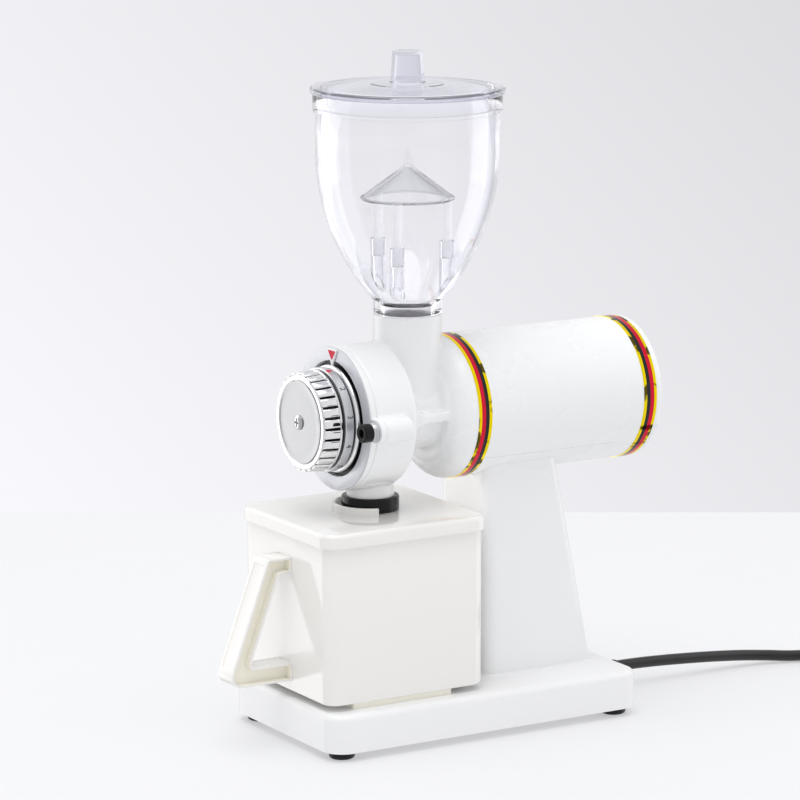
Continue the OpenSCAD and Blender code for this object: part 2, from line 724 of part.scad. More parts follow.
module face_plate() color("lightslategray") at_axis() difference() {
    union() {
        along_motor(face_front) cylinder(r = head_r, h = face_t);
        ear(face_front, face_t, ear_r - face_inset);
    }
    along_motor(face_front - 1) cylinder(r = face_bore_d / 2, h = face_t + 2);
    ear_holes(face_front - 1, big_screw_r + slide_fit, face_t + 2);
}

// Near side: a socket head on a spring washer and a plain one. Far side: a low head on a plain washer.
// Each side has its direction, its count of washers and the height of its screw's head
cover_sides = [[1, 2, 5.4], [-1, 1, 2.6]];
cover_head_r = 4.9;
washer_r = 5.3;
washer_t = 1.45;
screw_grip = face_t + cover_t + ear_len - 6;

module at_ear(side, y) along_motor(y) translate([side * ear_reach, 0, 0]) children();
module cover_screws() color("#222224") at_axis() for (s = cover_sides)
    at_ear(s[0], face_front - s[1] * washer_t) difference() {
        screw(big_screw_r, screw_grip + s[1] * washer_t, cover_head_r, s[2]);
        translate([0, 0, -s[2] - 1]) cylinder(r = cover_head_r / 2, h = s[2] / 2 + 1, $fn = 6);
    }
module cover_washers() color("silver") at_axis() for (s = cover_sides, i = [1 : s[1]])
    at_ear(s[0], face_front - i * washer_t)
        pipe(i == 1 ? washer_r : cover_head_r, big_screw_r + press_fit, washer_t);

pointer_w = 10.2;
pointer_t = 0.8;
module index_pointer() color("red") at_axis() along_motor(face_front - pointer_t) linear_extrude(pointer_t)
    polygon([[-pointer_w / 2, 1.2 - head_r], [pointer_w / 2, 1.2 - head_r],
        [0.4, -number_d / 2 - 0.6], [-0.4, -number_d / 2 - 0.6]]);

// Burrs, auger and the parts that press them together
burr_teeth = 18;
tooth_w = 1.3;
tooth_skew = 12;
// A burr from reach y rearwards, with grooves of V shape cut into its face at reach face_y
module burr_ring(y, bore_r, face_y) difference() {
    along_motor(y) pipe(burr_r, bore_r, burr_t);
    for (i = [1 : burr_teeth]) along_motor(face_y - tooth_w / sqrt(2)) rotate(360 * i / burr_teeth)
        translate([bore_r - 1, 0, 0]) rotate([0, 0, tooth_skew]) rotate([45, 0, 0])
            cube([burr_r - bore_r + 4, tooth_w, tooth_w]);
}

burr_head_r = 3.4;
burr_head_h = 2.2;
module fixed_burr() color("lightgray") at_axis() difference() {
    burr_ring(fixed_front, burr_bore_d / 2, fixed_front);
    burr_holes(fixed_front - 1, small_screw_r + slide_fit, burr_t + 2);
    burr_holes(fixed_front - 1, burr_head_r + slide_fit, burr_head_h + 1.4);
}
module fixed_burr_screws() color("gray") at_axis() for (a = burr_screw_turn)
    along_motor(fixed_front + burr_head_h + 0.4) rotate(a) translate([burr_screw_reach, 0, 0])
        screw(small_screw_r, burr_t - burr_head_h + 2.4, burr_head_r, burr_head_h);

module rotating_burr() color("lightgray") at_axis() difference() {
    burr_ring(turning_front, burr_bore_d / 2 - 1.5, turning_rear);
    burr_holes(turning_front - 1, small_screw_r + slide_fit, burr_t + 2);
    burr_holes(turning_rear - burr_head_h - 0.4, burr_head_r + slide_fit, burr_head_h + 1.4);
}
module rotating_burr_screws() color("gray") at_axis() for (a = burr_screw_turn)
    along_motor(turning_rear - burr_head_h - 0.4) rotate(a) translate([burr_screw_reach, 0, 0])
        mirror([0, 0, 1]) screw(small_screw_r, burr_t - burr_head_h + 2.4, burr_head_r, burr_head_h);

hub_rear = turning_front + 4;
module burr_holder() color("silver") at_axis() difference() {
    union() {
        along_motor(holder_front) cylinder(r = burr_r + 0.5, h = holder_t);
        along_motor(hub_front) cylinder(r = hub_r, h = hub_rear - hub_front);
    }
    along_motor(shaft_front - 0.4) cylinder(r = shaft_r + turn_fit, h = hub_rear - shaft_front + 2);
    translate([-hub_r - 1, turning_front - 0.3, motor_z - pin_r - slide_fit])
        cube([2 * hub_r + 2, hub_rear - turning_front + 2, 2 * pin_r + 2 * slide_fit]);
    translate([0, ball_y, motor_z]) sphere(ball_r + press_fit);
    burr_holes(turning_front - 3.4, small_screw_r + press_fit, 4);
}

module drive_pin() color("silver") at_axis() translate([0.5 - hub_r, pin_y, motor_z]) rotate([0, 90, 0])
    cylinder(r = pin_r, h = 2 * hub_r - 1);

module burr_spring() color("silver") at_axis() along_motor(hub_rear + rest_gap)
    pipe(shaft_r + 2.8, shaft_r + 1.2, auger_front - hub_rear - rest_gap);

flight_r = throat_bore_d / 2 - 0.9;
flight_turns = 1.5;
module feed_auger() color("silver") at_axis() along_motor(auger_front) difference() {
    union() {
        cylinder(r = shaft_r + 2, h = auger_rear - auger_front);
        linear_extrude(auger_rear - auger_front, twist = -360 * flight_turns, slices = 24, $fn = 16)
            translate([0, -1.5]) square([flight_r, 3]);
    }
    translate([0, 0, -1]) cylinder(r = shaft_r + press_fit, h = auger_rear - auger_front + 2);
}

module thrust_ball() color("silver") at_axis() translate([0, ball_y, motor_z]) sphere(ball_r);

// Dial: number ring and knob turn together, and the spindle slides in the knob's six-sided socket
drive_r = spindle_d / 2 - 0.6;
drive_front = knob_front + 3.2;
module adjusting_spindle() color("silver") at_axis() {
    along_motor(boss_front) cylinder(r = spindle_d / 2, h = spindle_rear - boss_front);
    along_motor(drive_front) cylinder(r = drive_r, h = boss_front - drive_front, $fn = 6);
}

module number_ring() color("ivory") at_axis() along_motor(number_front)
    pipe(number_d / 2, boss_r + slide_fit, number_t);

knob_hub_r = 20;
flute_r = 1.3;
module dial_knob() color("gainsboro") at_axis() difference() {
    union() {
        along_motor(knob_front) cylinder(r1 = knob_front_d / 2, r2 = knob_d / 2, h = knob_len);
        along_motor(knob_rear) cylinder(r = knob_hub_r, h = groove_w);
    }
    for (i = [1 : flute_count]) along_motor(knob_front - 1) rotate(360 * i / flute_count)
        translate([knob_d / 2 + flute_r * 0.35, 0, 0]) cylinder(r = flute_r, h = knob_len + 2);
    along_motor(knob_front - 1) cylinder(r = knob_face_d / 2 + press_fit, h = 1.8);
    along_motor(boss_front - boss_room) cylinder(r = boss_r + slide_fit, h = number_front - boss_front + 2);
    along_motor(knob_front + 2) cylinder(r = drive_r + slide_fit, h = knob_len, $fn = 6);
}

knob_screw_r = 1.6;
knob_face_h = 1.4;
module knob_face() color("gainsboro") at_axis() along_motor(knob_front + 0.8 - knob_face_h) difference() {
    cylinder(r1 = knob_face_d / 2 - 1.5, r2 = knob_face_d / 2, h = knob_face_h);
    translate([0, 0, -1]) cylinder(r = knob_screw_r + press_fit, h = knob_face_h + 2);
}

module knob_screw() color("silver") at_axis() difference() {
    along_motor(knob_front + 0.8 - knob_face_h) screw(knob_screw_r, knob_face_h, knob_screw_r * 1.6, 1.2);
    along_motor(knob_front + 0.8 - knob_face_h - 2.2) for (a = [0, 90]) rotate(a)
        translate([-2, -0.4, 0]) cube([4, 0.8, 1.7]);
}

// Hopper with its collar, guard and lid: the bowl is cemented to the collar
cone_dir = [sin(hopper_angle), cos(hopper_angle)];
bore_r = spigot_r - spigot_wall;
inner_end = arc_centre + (hopper_arc_r - hopper_wall) * [cos(hopper_angle), -sin(hopper_angle)];
inner_foot = inner_end - cone_dir * (inner_end[0] - bore_r) / cone_dir[0];
seam_foot = [bore_r + (collar_top - inner_foot[1]) * tan(hopper_angle), collar_top];
outer_line = concat([[collar_r, collar_top]],
    arc(arc_centre, hopper_arc_r, -hopper_angle, 0), [[hopper_r, rim_z]]);
inner_line = concat([seam_foot], arc(arc_centre, hopper_arc_r - hopper_wall, -hopper_angle, 0),
    [[hopper_in_r, hopper_top]]);
socket_r = guard_rod_d / 2 + 1.2;
rod_foot = socket_top - 9.5;

function flip(line) = [for (i = [len(line) - 1 : -1 : 0]) line[i]];
module at_rods() for (a = guard_angles) rotate(a) translate([guard_rod_reach, 0, 0]) children();

module hopper() color("lavender", 0.5) at_axis() difference() {
    union() {
        rotate_extrude() polygon(concat(outer_line, [[rim_d / 2, rim_z], [rim_d / 2, hopper_top]],
            flip(inner_line)));
        intersection() {
            translate([0, 0, collar_top]) at_rods() cylinder(r = socket_r, h = socket_rise);
            rotate_extrude() polygon(concat([[0, collar_top]], outer_line, [[0, rim_z]]));
        }
    }
    translate([0, 0, rod_foot]) at_rods() cylinder(r = guard_rod_d / 2 + slide_fit / 2, h = socket_rise);
}

module hopper_collar() color("lavender", 0.5) at_axis() rotate_extrude()
    polygon([[bore_r, neck_top - spigot_len], [spigot_r, neck_top - spigot_len], [spigot_r, neck_top],
        [collar_r, neck_top], [collar_r, collar_top], seam_foot, inner_foot]);

guard_wall = 2.2;
module bean_guard() color("lavender", 0.5) at_axis() {
    translate([0, 0, guard_z]) difference() {
        cylinder(r1 = guard_d / 2, r2 = 0, h = guard_h);
        translate([0, 0, -guard_wall]) cylinder(r1 = guard_d / 2, r2 = 0, h = guard_h);
    }
    intersection() {
        translate([0, 0, rod_foot + rest_gap]) at_rods() cylinder(r = guard_rod_d / 2, h = guard_z);
        translate([0, 0, rod_foot]) union() {
            cylinder(r = guard_d / 2, h = guard_z - rod_foot);
            translate([0, 0, guard_z - rod_foot]) cylinder(r1 = guard_d / 2, r2 = 0, h = guard_h);
        }
    }
}

lid_wall = 2;
skirt_r = hopper_in_r - loose_fit;
module hopper_lid() color("lavender", 0.5) at_axis() rotate_extrude() difference() {
    union() {
        polygon([[0, lid_z], [lid_d / 2, lid_z], [lid_d / 2, lid_z + lid_t], [lid_knob_d / 2, lid_knob_foot],
            [lid_knob_d / 2 - 1, lid_knob_foot + lid_knob_h], [0, lid_knob_foot + lid_knob_h]]);
        translate([skirt_r - lid_wall, lid_z - skirt_h]) square([lid_wall, skirt_h + 1]);
    }
    polygon([[0, lid_z - 1], [lid_knob_d / 2 - lid_wall, lid_z - 1],
        [lid_knob_d / 2 - lid_wall - 1, lid_knob_foot + lid_knob_h - lid_wall],
        [0, lid_knob_foot + lid_knob_h - lid_wall]]);
}

// Grounds bin with its handle and lid
bin_rear = bin_len - bin_front;
lid_hole_r = ring_r - 3.5;
lid_plug_h = 5;
lid_top_t = 3;

module grounds_bin() color("antiquewhite") at_axis() difference() {
    translate([0, 0, bin_z]) linear_extrude(bin_h) rounded(bin_w / 2, -bin_front, bin_rear, bin_corner_r);
    translate([0, 0, bin_z + bin_wall]) linear_extrude(bin_h)
        rounded(bin_w / 2 - bin_wall, bin_wall - bin_front, bin_rear - bin_wall, bin_corner_r - bin_wall);
}

function grip_inner(z) = grip_outer(z) - handle_grip_t * grip_slant;
arm_z = handle_top - handle_arm_t;
foot_z = handle_foot + handle_foot_t;
handle_in = [[2, arm_z], [-grip_inner(arm_z), arm_z], [-grip_inner(foot_z), foot_z], [2, foot_z]];
flange_t = 1.2;
recess_d = 4.8;

module handle_outline(inset) offset(r = -inset) difference() {
    hull() {
        translate([0, handle_foot]) square([flange_t / 4, handle_top - handle_foot]);
        for (c = [[handle_top_r, handle_top - handle_top_r], [handle_foot_r, handle_foot + handle_foot_r]])
            translate([c[0] * grip_slant - grip_outer(c[1]), c[1]]) circle(c[0]);
    }
    offset(r = 2) offset(delta = -2) polygon(handle_in);
}

module bin_handle() color("antiquewhite") at_axis() translate([0, -bin_front, bin_z]) intersection() {
    rotate([90, 0, 90]) difference() {
        translate([0, 0, -handle_w / 2]) linear_extrude(handle_w) handle_outline(0, $fn = 24);
        for (z = [-handle_w / 2 - 1, handle_w / 2 - recess_d]) translate([0, 0, z])
            linear_extrude(recess_d + 1) handle_outline(flange_t, $fn = 24);
    }
    translate([-handle_w, -handle_reach - 1, 0]) cube([2 * handle_w, handle_reach + 1, handle_top + 1]);
}

module bin_lid() color("antiquewhite") at_axis() {
    translate([0, 0, bin_top]) difference() {
        union() {
            linear_extrude(bin_lid_t) rounded(bin_w / 2 + bin_lid_over, -bin_front - bin_lid_over,
                bin_rear + bin_lid_over, bin_corner_r + bin_lid_over);
            translate([0, 0, -lid_plug_h]) linear_extrude(lid_plug_h + 1)
                rounded(bin_w / 2 - bin_wall - slide_fit, bin_wall + slide_fit - bin_front,
                    bin_rear - bin_wall - slide_fit, bin_corner_r - bin_wall - slide_fit);
        }
        translate([0, 0, -lid_plug_h - 1]) linear_extrude(lid_plug_h + 1 + bin_lid_t - lid_top_t)
            rounded(bin_w / 2 - 2 * bin_wall - slide_fit, 2 * bin_wall + slide_fit - bin_front,
                bin_rear - 2 * bin_wall - slide_fit, bin_corner_r - 2 * bin_wall - slide_fit);
        translate([0, -spout_y, -lid_plug_h - 1]) cylinder(r = lid_hole_r, h = bin_lid_t + lid_plug_h + 2);
    }
    translate([0, -spout_y, bin_lid_top - 0.5]) difference() {
        pipe(ring_r + collar_gap + collar_wall, ring_r + collar_gap, collar_rise + 0.5);
        translate([-ring_d, -collar_cut, -1]) cube([2 * ring_d, 2 * ring_d, collar_rise + 3]);
    }
}

// Switch on the column's far side
pivot_x = -column_w / 2 - 0.4;
bezel_t = 1.6;
rocker_room = loose_fit + 0.2;
switch_body_len = 15;
rocker_profile = [[-3.2, rocker_len / 2], [-1.8, 0], [-3.2, -rocker_len / 2], [2.2, -rocker_len / 2 + 1.4],
    [2.2, rocker_len / 2 - 1.4]];

module at_switch() translate([pivot_x, switch_y, switch_z]) children();
module switch_frame() color("#222224") at_axis() at_switch() difference() {
    union() {
        translate([-pivot_x - column_w / 2 - bezel_t, -bezel_w / 2, -bezel_h / 2])
            cube([bezel_t, bezel_w, bezel_h]);
        translate([-pivot_x - column_w / 2 - 0.2, -switch_body_w / 2, -switch_body_h / 2])
            cube([switch_body_len, switch_body_w, switch_body_h]);
    }
    translate([-10, -rocker_w / 2 - slide_fit, -rocker_len / 2 - rocker_room])
        cube([10 + switch_body_len / 2, rocker_w + 2 * slide_fit, rocker_len + 2 * rocker_room]);
    translate([0, -bezel_w, 0]) rotate([-90, 0, 0]) cylinder(r = pin_r + turn_fit, h = 2 * bezel_w);
}
module switch_rocker() color("#2a2a2c") at_axis() at_switch() {
    rotate([0, -rocker_tilt, 0]) translate([0, rocker_w / 2, 0]) rotate([90, 0, 0])
        linear_extrude(rocker_w) polygon(rocker_profile);
    translate([0, -rocker_w / 2 - 1.4, 0]) rotate([-90, 0, 0]) cylinder(r = pin_r, h = rocker_w + 2.8);
}

// Electrical pieces inside
capacitor_h = 58;
module run_capacitor() color("lightgray") at_axis() translate([0, capacitor_y, base_top]) {
    cylinder(r = capacitor_r, h = capacitor_h);
    for (x = [-4, 4]) translate([x - 0.4, -3, capacitor_h - 1]) cube([0.8, 6, 8]);
}

block_w = 30;
block_len = 16;
block_h = 9;
block_inset = 36;
module terminal_block() color("wheat") at_axis() translate([-block_w / 2, base_rear - block_inset, bottom_z])
    difference() {
        cube([block_w, block_len, block_h]);
        for (i = [1, 3, 5]) translate([i * block_w / 6, -1, block_h / 2]) rotate([-90, 0, 0])
            cylinder(r = small_screw_r, h = block_len + 2);
    }

// Mains lead
module strain_relief() color("#1c1c1e") at_axis() translate([0, base_rear, cord_z]) rotate([-90, 0, 0]) {
    cylinder(r1 = boot_r, r2 = cord_r + 0.6, h = boot_len);
    translate([0, 0, -base_wall - 0.1]) cylinder(r = boot_neck_r, h = base_wall + 0.2);
    translate([0, 0, -base_wall - 2.5]) cylinder(r = boot_neck_r + 0.9, h = 2.4);
}
module cord_run() color("#18181a") at_axis() tube(cord_path, cord_r, 10);
module cord_coil() color("#18181a") at_axis() tube(coil_path, cord_r, 6);

tie_w = 8;
tie_t = 0.8;
tie_low = coil_centre[1] + coil_radius(coil_turns + 0.25) - cord_r - 1.2;
tie_high = coil_centre[1] + coil_radius(0.25) + cord_r + 0.6;
tie_top = coil_low_z + coil_pitch + cord_r + 0.5;
module cord_tie() color("#303034") at_axis() translate([coil_centre[0] - tie_w / 2, 0, 0])
    rotate([90, 0, 90]) linear_extrude(tie_w) difference() {
        translate([tie_low - tie_t, 0.1]) square([tie_high - tie_low + 2 * tie_t, tie_top + tie_t - 0.1]);
        translate([tie_low, tie_t + 0.1]) square([tie_high - tie_low, tie_top - tie_t - 0.1]);
    }

plug_half = coil_end[2] - 0.3;
plug_neck = 14;
plug_len = 24;
pin_len = 19;
module at_plug(y) translate([coil_end[0], coil_end[1] - y, coil_end[2]]) rotate([90, 0, 0]) children();
module plug_body() color("#1c1c1e") at_axis() {
    at_plug(0) cylinder(r1 = cord_r + 1, r2 = plug_half - 2, h = plug_neck);
    at_plug(plug_neck) linear_extrude(plug_len) {
        square([pin_gap - 6, 2 * plug_half], center = true);
        for (x = [-1, 1]) translate([x * (pin_gap / 2 - 3), 0]) circle(plug_half);
    }
}
module plug_pins() color("silver") at_axis() for (x = [-1, 1]) at_plug(plug_neck + plug_len)
    translate([x * pin_gap / 2, 0, 0]) cylinder(r = pin_d / 2, h = pin_len);

base_shell();
bottom_plate();
rubber_feet();
foot_screws();
stand_column();
column_screws();
motor_housing();
saddle_screws();
grinder_body();
rear_cap();
front_band();
rear_band();
front_cover();
face_plate();
cover_screws();
cover_washers();
index_pointer();
spout_ring();
stator_core();
stator_windings();
front_bearing();
rear_bearing();
motor_shaft();
rotor_core();
cooling_fan();
feed_auger();
drive_pin();
fixed_burr();
fixed_burr_screws();
rotating_burr();
rotating_burr_screws();
burr_holder();
burr_spring();
thrust_ball();
adjusting_spindle();
number_ring();
dial_knob();
knob_face();
knob_screw();
hopper();
hopper_collar();
bean_guard();
hopper_lid();
grounds_bin();
bin_handle();
bin_lid();
switch_frame();
switch_rocker();
run_capacitor();
terminal_block();
strain_relief();
cord_run();
cord_coil();
cord_tie();
plug_body();
plug_pins();
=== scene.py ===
"""Electric coffee grinder: detailed pieces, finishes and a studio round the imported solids.

Lengths are metres. Forward, where the dial faces, is -Y, and up is +Z.
"""

import json
import math
from contextlib import contextmanager

import bmesh
import bpy
from bpy.props import FloatProperty, FloatVectorProperty, IntProperty, PointerProperty
from mathutils import Matrix, Vector

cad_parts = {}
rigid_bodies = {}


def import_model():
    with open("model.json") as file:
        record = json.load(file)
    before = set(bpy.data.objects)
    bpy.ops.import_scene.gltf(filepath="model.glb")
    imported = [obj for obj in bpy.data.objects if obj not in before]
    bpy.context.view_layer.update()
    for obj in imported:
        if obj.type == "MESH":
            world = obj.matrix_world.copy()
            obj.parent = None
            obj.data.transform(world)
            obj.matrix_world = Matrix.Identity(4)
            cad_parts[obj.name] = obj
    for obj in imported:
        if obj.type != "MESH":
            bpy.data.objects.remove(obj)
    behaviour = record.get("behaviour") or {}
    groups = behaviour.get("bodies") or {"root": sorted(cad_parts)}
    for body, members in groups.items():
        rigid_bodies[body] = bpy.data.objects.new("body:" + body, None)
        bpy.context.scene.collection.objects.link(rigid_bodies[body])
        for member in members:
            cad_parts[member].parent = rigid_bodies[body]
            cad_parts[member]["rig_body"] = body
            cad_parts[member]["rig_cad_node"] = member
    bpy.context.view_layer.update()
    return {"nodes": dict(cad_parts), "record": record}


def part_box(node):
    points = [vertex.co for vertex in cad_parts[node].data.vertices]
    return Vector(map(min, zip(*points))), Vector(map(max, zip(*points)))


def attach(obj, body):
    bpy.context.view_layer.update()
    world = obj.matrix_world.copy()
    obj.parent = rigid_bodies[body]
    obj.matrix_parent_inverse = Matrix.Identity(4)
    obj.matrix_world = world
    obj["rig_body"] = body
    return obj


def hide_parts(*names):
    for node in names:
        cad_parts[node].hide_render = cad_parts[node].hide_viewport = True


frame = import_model()

bl_info = {
    "name": "Electric coffee grinder",
    "version": (1, 0, 0),
    "blender": (4, 5, 0),
    "location": "3D View > Sidebar > Grinder",
    "description": "Dresses the packed grinder with detailed pieces, finishes and a studio",
    "category": "Object",
}

MM = 0.001
TURN = 2 * math.pi
UP = Vector((0, 0, 1))
# What lies to the right and far away, as the photo shows the grinder
VIEW_RIGHT = Vector((0.5167, 0.8562, 0))
VIEW_FAR = Vector((-0.8562, 0.5167, 0))
# Where the lead leaves the base, and the motor's radius, in millimetres
LEAD_Y, LEAD_Z = 116.5, 11.8
MOTOR_R = 39
# Finished materials by name
MADE = {}


class Span:
    """Where a CAD node lies: its lowest and highest corner, its middle and its size"""

    def __init__(self, node):
        self.low, self.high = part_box(node)
        self.mid = (self.low + self.high) / 2
        self.size = self.high - self.low


AXIS_Z = Span("motor_housing").mid.z
HOPPER_Y = Span("hopper").mid.y


def at(x, y, z):
    """A point given in millimetres, with y counted from the hopper's upright axis"""
    return Vector((x * MM, HOPPER_Y + y * MM, z * MM))


def on_line(y):
    """The point of the motor axis at y, in metres"""
    return Vector((0, y, AXIS_Z))


def on_axis(y):
    """The point of the motor axis at y, in millimetres from the hopper's upright axis"""
    return on_line(HOPPER_Y + y * MM)


# Modelling steps


def deselect():
    if bpy.context.mode != "OBJECT":
        bpy.ops.object.mode_set(mode="OBJECT")
    bpy.ops.object.select_all(action="DESELECT")


def pick(*objects):
    deselect()
    for obj in objects:
        obj.select_set(True)
    bpy.context.view_layer.objects.active = objects[0]


@contextmanager
def editing(obj):
    pick(obj)
    bpy.ops.object.mode_set(mode="EDIT")
    yield
    bpy.ops.object.mode_set(mode="OBJECT")


def added(name):
    obj = bpy.context.object
    obj.name = obj.data.name = name
    return obj


def settle(obj):
    """Puts the object's place, turn and scale into its mesh"""
    pick(obj)
    bpy.ops.object.transform_apply(location=True, rotation=True, scale=True)
    return obj


def middle(edge):
    return (edge.verts[0].co + edge.verts[1].co) / 2


def runs_along(edge, axis):
    way = (edge.verts[1].co - edge.verts[0].co).normalized()
    return abs(way[axis]) > 0.98


def upright(edge):
    return runs_along(edge, 2)


def above(height):
    """A test for edges that lie no lower than a height"""
    return lambda edge: all(v.co.z > height - 1e-6 for v in edge.verts)


def choose(obj, kind, test):
    """Selects the vertices, edges or faces that pass a test, of the object in edit mode"""
    bpy.ops.mesh.select_mode(type=kind)
    bpy.ops.mesh.select_all(action="DESELECT")
    mesh = bmesh.from_edit_mesh(obj.data)
    for item in {"VERT": mesh.verts, "EDGE": mesh.edges, "FACE": mesh.faces}[kind]:
        if test(item):
            item.select_set(True)
    mesh.select_flush_mode()
    bmesh.update_edit_mesh(obj.data)


def take_all():
    bpy.ops.mesh.select_all(action="SELECT")


def push(way):
    """Extrudes what is selected and moves it, in edit mode"""
    bpy.ops.mesh.extrude_region_move(TRANSFORM_OT_translate={"value": way})


def close_up():
    """Merges doubles and turns all faces outwards, in edit mode"""
    take_all()
    bpy.ops.mesh.remove_doubles(threshold=1e-6)
    bpy.ops.mesh.normals_make_consistent(inside=False)


def block(name, low, high):
    deselect()
    low, high = Vector(low), Vector(high)
    bpy.ops.mesh.primitive_cube_add(size=1, location=(low + high) / 2)
    obj = added(name)
    obj.scale = high - low
    return settle(obj)


def line_of(name, points):
    """An object whose vertices run along points, left in edit mode with the last one selected"""
    deselect()
    bpy.ops.mesh.primitive_circle_add(vertices=3, radius=MM)
    obj = added(name)
    bpy.ops.object.mode_set(mode="EDIT")
    bpy.ops.mesh.select_mode(type="VERT")
    take_all()
    bpy.ops.mesh.merge(type="CENTER")
    bpy.ops.transform.translate(value=points[0])
    for a, b in zip(points, points[1:]):
        push(Vector(b) - Vector(a))
    return obj


def turned(name, outline, centre, axis="Z", steps=96, closed=True):
    """A body of revolution. Its outline is (radius, distance along the axis) in millimetres from centre"""
    way, side = (UP, Vector((1, 0, 0))) if axis == "Z" else (Vector((0, 1, 0)), UP)
    obj = line_of(name, [centre + side * r * MM + way * h * MM for r, h in outline])
    if closed:
        take_all()
        bpy.ops.mesh.edge_face_add()
        bpy.ops.mesh.delete(type="ONLY_FACE")
    take_all()
    bpy.ops.mesh.spin(steps=steps, angle=TURN, center=centre, axis=way)
    close_up()
    bpy.ops.object.mode_set(mode="OBJECT")
    return obj


def round_bar(name, radius, low, high, centre, axis="Z", steps=96):
    """A round bar from low to high along an axis, in millimetres from centre"""
    return turned(name, [(0, low), (radius, low), (radius, high), (0, high)], centre, axis, steps, closed=False)


def drawn(name, points, depth):
    """A plate: a closed outline of points, pushed out by the vector depth"""
    obj = line_of(name, points)
    take_all()
    bpy.ops.mesh.edge_face_add()
    push(depth)
    close_up()
    bpy.ops.object.mode_set(mode="OBJECT")
    return obj


def arc(centre, radius, start, end, steps):
    """Points of an arc in a plane, with angles in degrees"""
    turns = [math.radians(start + (end - start) * i / steps) for i in range(steps + 1)]
    return [(centre[0] + radius * math.cos(a), centre[1] + radius * math.sin(a)) for a in turns]


def rounded_corners(corners, steps=6):
    """Outline of a polygon whose corners are (x, y, radius)"""
    line = []
    for i, (x, y, r) in enumerate(corners):
        here = Vector((x, y))
        back = (Vector(corners[i - 1][:2]) - here).normalized()
        ahead = (Vector(corners[(i + 1) % len(corners)][:2]) - here).normalized()
        if r == 0:
            line.append((x, y))
            continue
        half = back.angle(ahead) / 2
        centre = here + (back + ahead).normalized() * r / math.sin(half)
        first = here + back * r / math.tan(half) - centre
        last = here + ahead * r / math.tan(half) - centre
        sweep = first.angle_signed(last)
        for k in range(steps + 1):
            point = centre + Matrix.Rotation(-sweep * k / steps, 2) @ first
            line.append((point.x, point.y))
    return line


def bevel_edges(obj, test, radius, segments):
    with editing(obj):
        choose(obj, "EDGE", test)
        bpy.ops.mesh.bevel(offset=radius, segments=segments, affect="EDGES")


def apply_modifier(obj, kind, **values):
    pick(obj)
    modifier = obj.modifiers.new(kind.lower(), kind)
    for key, value in values.items():
        setattr(modifier, key, value)
    bpy.ops.object.modifier_apply(modifier=modifier.name)
    return obj


def combine(obj, tool, operation="DIFFERENCE"):
    """Cuts the tool out of the object, or joins it to it, and removes the tool"""
    apply_modifier(obj, "BOOLEAN", object=tool, operation=operation, solver="EXACT")
    bpy.data.objects.remove(tool)
    return obj


def soften(obj, width, segments=2, angle=30):
    """Rounds all sharp edges"""
    return apply_modifier(obj, "BEVEL", width=width, segments=segments, limit_method="ANGLE",
                          angle_limit=math.radians(angle), harden_normals=False)


def join(first, *others):
    pick(first, *others)
    bpy.ops.object.join()
    return first


def copied(obj, name, shift):
    pick(obj)
    bpy.ops.object.duplicate(linked=False)
    twin = added(name)
    twin.location = shift
    return settle(twin)


def from_node(name, node):
    """A merged copy of a CAD node's mesh"""
    pick(frame["nodes"][node])
    bpy.ops.object.duplicate(linked=False)
    obj = added(name)
    bpy.ops.object.parent_clear(type="CLEAR_KEEP_TRANSFORM")
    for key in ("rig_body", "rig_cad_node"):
        del obj[key]
    obj.data.materials.clear()
    with editing(obj):
        take_all()
        bpy.ops.mesh.remove_doubles(threshold=2e-6)
        bpy.ops.mesh.dissolve_limited(angle_limit=math.radians(1))
    return obj


def mark_faces(obj, name, test, share=1.0):
    """Stores a mask of the faces that pass a test as a colour attribute, with a share of its full effect"""
    mask = obj.data.color_attributes.new(name, "FLOAT_COLOR", "CORNER")
    for face in obj.data.polygons:
        value = share if test(face) else 0.0
        for corner in face.loop_indices:
            mask.data[corner].color = (value, value, value, 1)


def dress(obj, body, slot, *nodes, look=None, angle=35):
    """Shades a finished piece, gives it its slot's finish or another look, and ties it to its body and nodes"""
    pick(obj)
    bpy.ops.object.shade_smooth_by_angle(angle=math.radians(angle))
    obj.data.materials.clear()
    obj.data.materials.append(MADE[look or slot])
    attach(obj, body)
    if nodes:
        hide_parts(*nodes)
    return obj


def eased(name, node, body, slot, radius, segments=2):
    """A CAD node's copy with rounded edges, dressed"""
    return dress(soften(from_node(name, node), radius * MM, segments), body, slot, node)


# Finishes


def group(name, inputs, outputs):
    """An empty shader node group with float, colour and vector sockets"""
    tree = bpy.data.node_groups.new(name, "ShaderNodeTree")
    kinds = {"value": "NodeSocketFloat", "colour": "NodeSocketColor", "vector": "NodeSocketVector"}
    for label, kind in inputs:
        tree.interface.new_socket(label, in_out="INPUT", socket_type=kinds[kind])
    for label, kind in outputs:
        tree.interface.new_socket(label, in_out="OUTPUT", socket_type=kinds[kind])
    return tree, tree.nodes.new("NodeGroupInput"), tree.nodes.new("NodeGroupOutput")


def feed(tree, value, socket):
    """Links another node's output to a socket, or sets a plain value on it"""
    if hasattr(value, "links"):
        tree.links.new(value, socket)
    else:
        socket.default_value = value


def put(tree, kind, **values):
    """Adds a node. Values name its properties, or its sockets where the name starts with a capital"""
    node = tree.nodes.new(kind)
    for key, value in values.items():
        if key[0].isupper():
            feed(tree, value, node.inputs[key.replace("_", " ")])
        else:
            setattr(node, key, value)
    return node


def math_node(tree, operation, *values):
    node = put(tree, "ShaderNodeMath", operation=operation)
    for socket, value in zip(node.inputs, values):
        feed(tree, value, socket)
    return node.outputs[0]


def own_place(tree):
    """Where a point lies on the piece itself"""
    return put(tree, "ShaderNodeTexCoord").outputs["Object"]


def noise(tree, scale, detail=2.0, source=None):
    """Noise on the piece's own coordinates"""
    return put(tree, "ShaderNodeTexNoise", Detail=detail, Scale=scale, Vector=source or own_place(tree)).outputs[0]


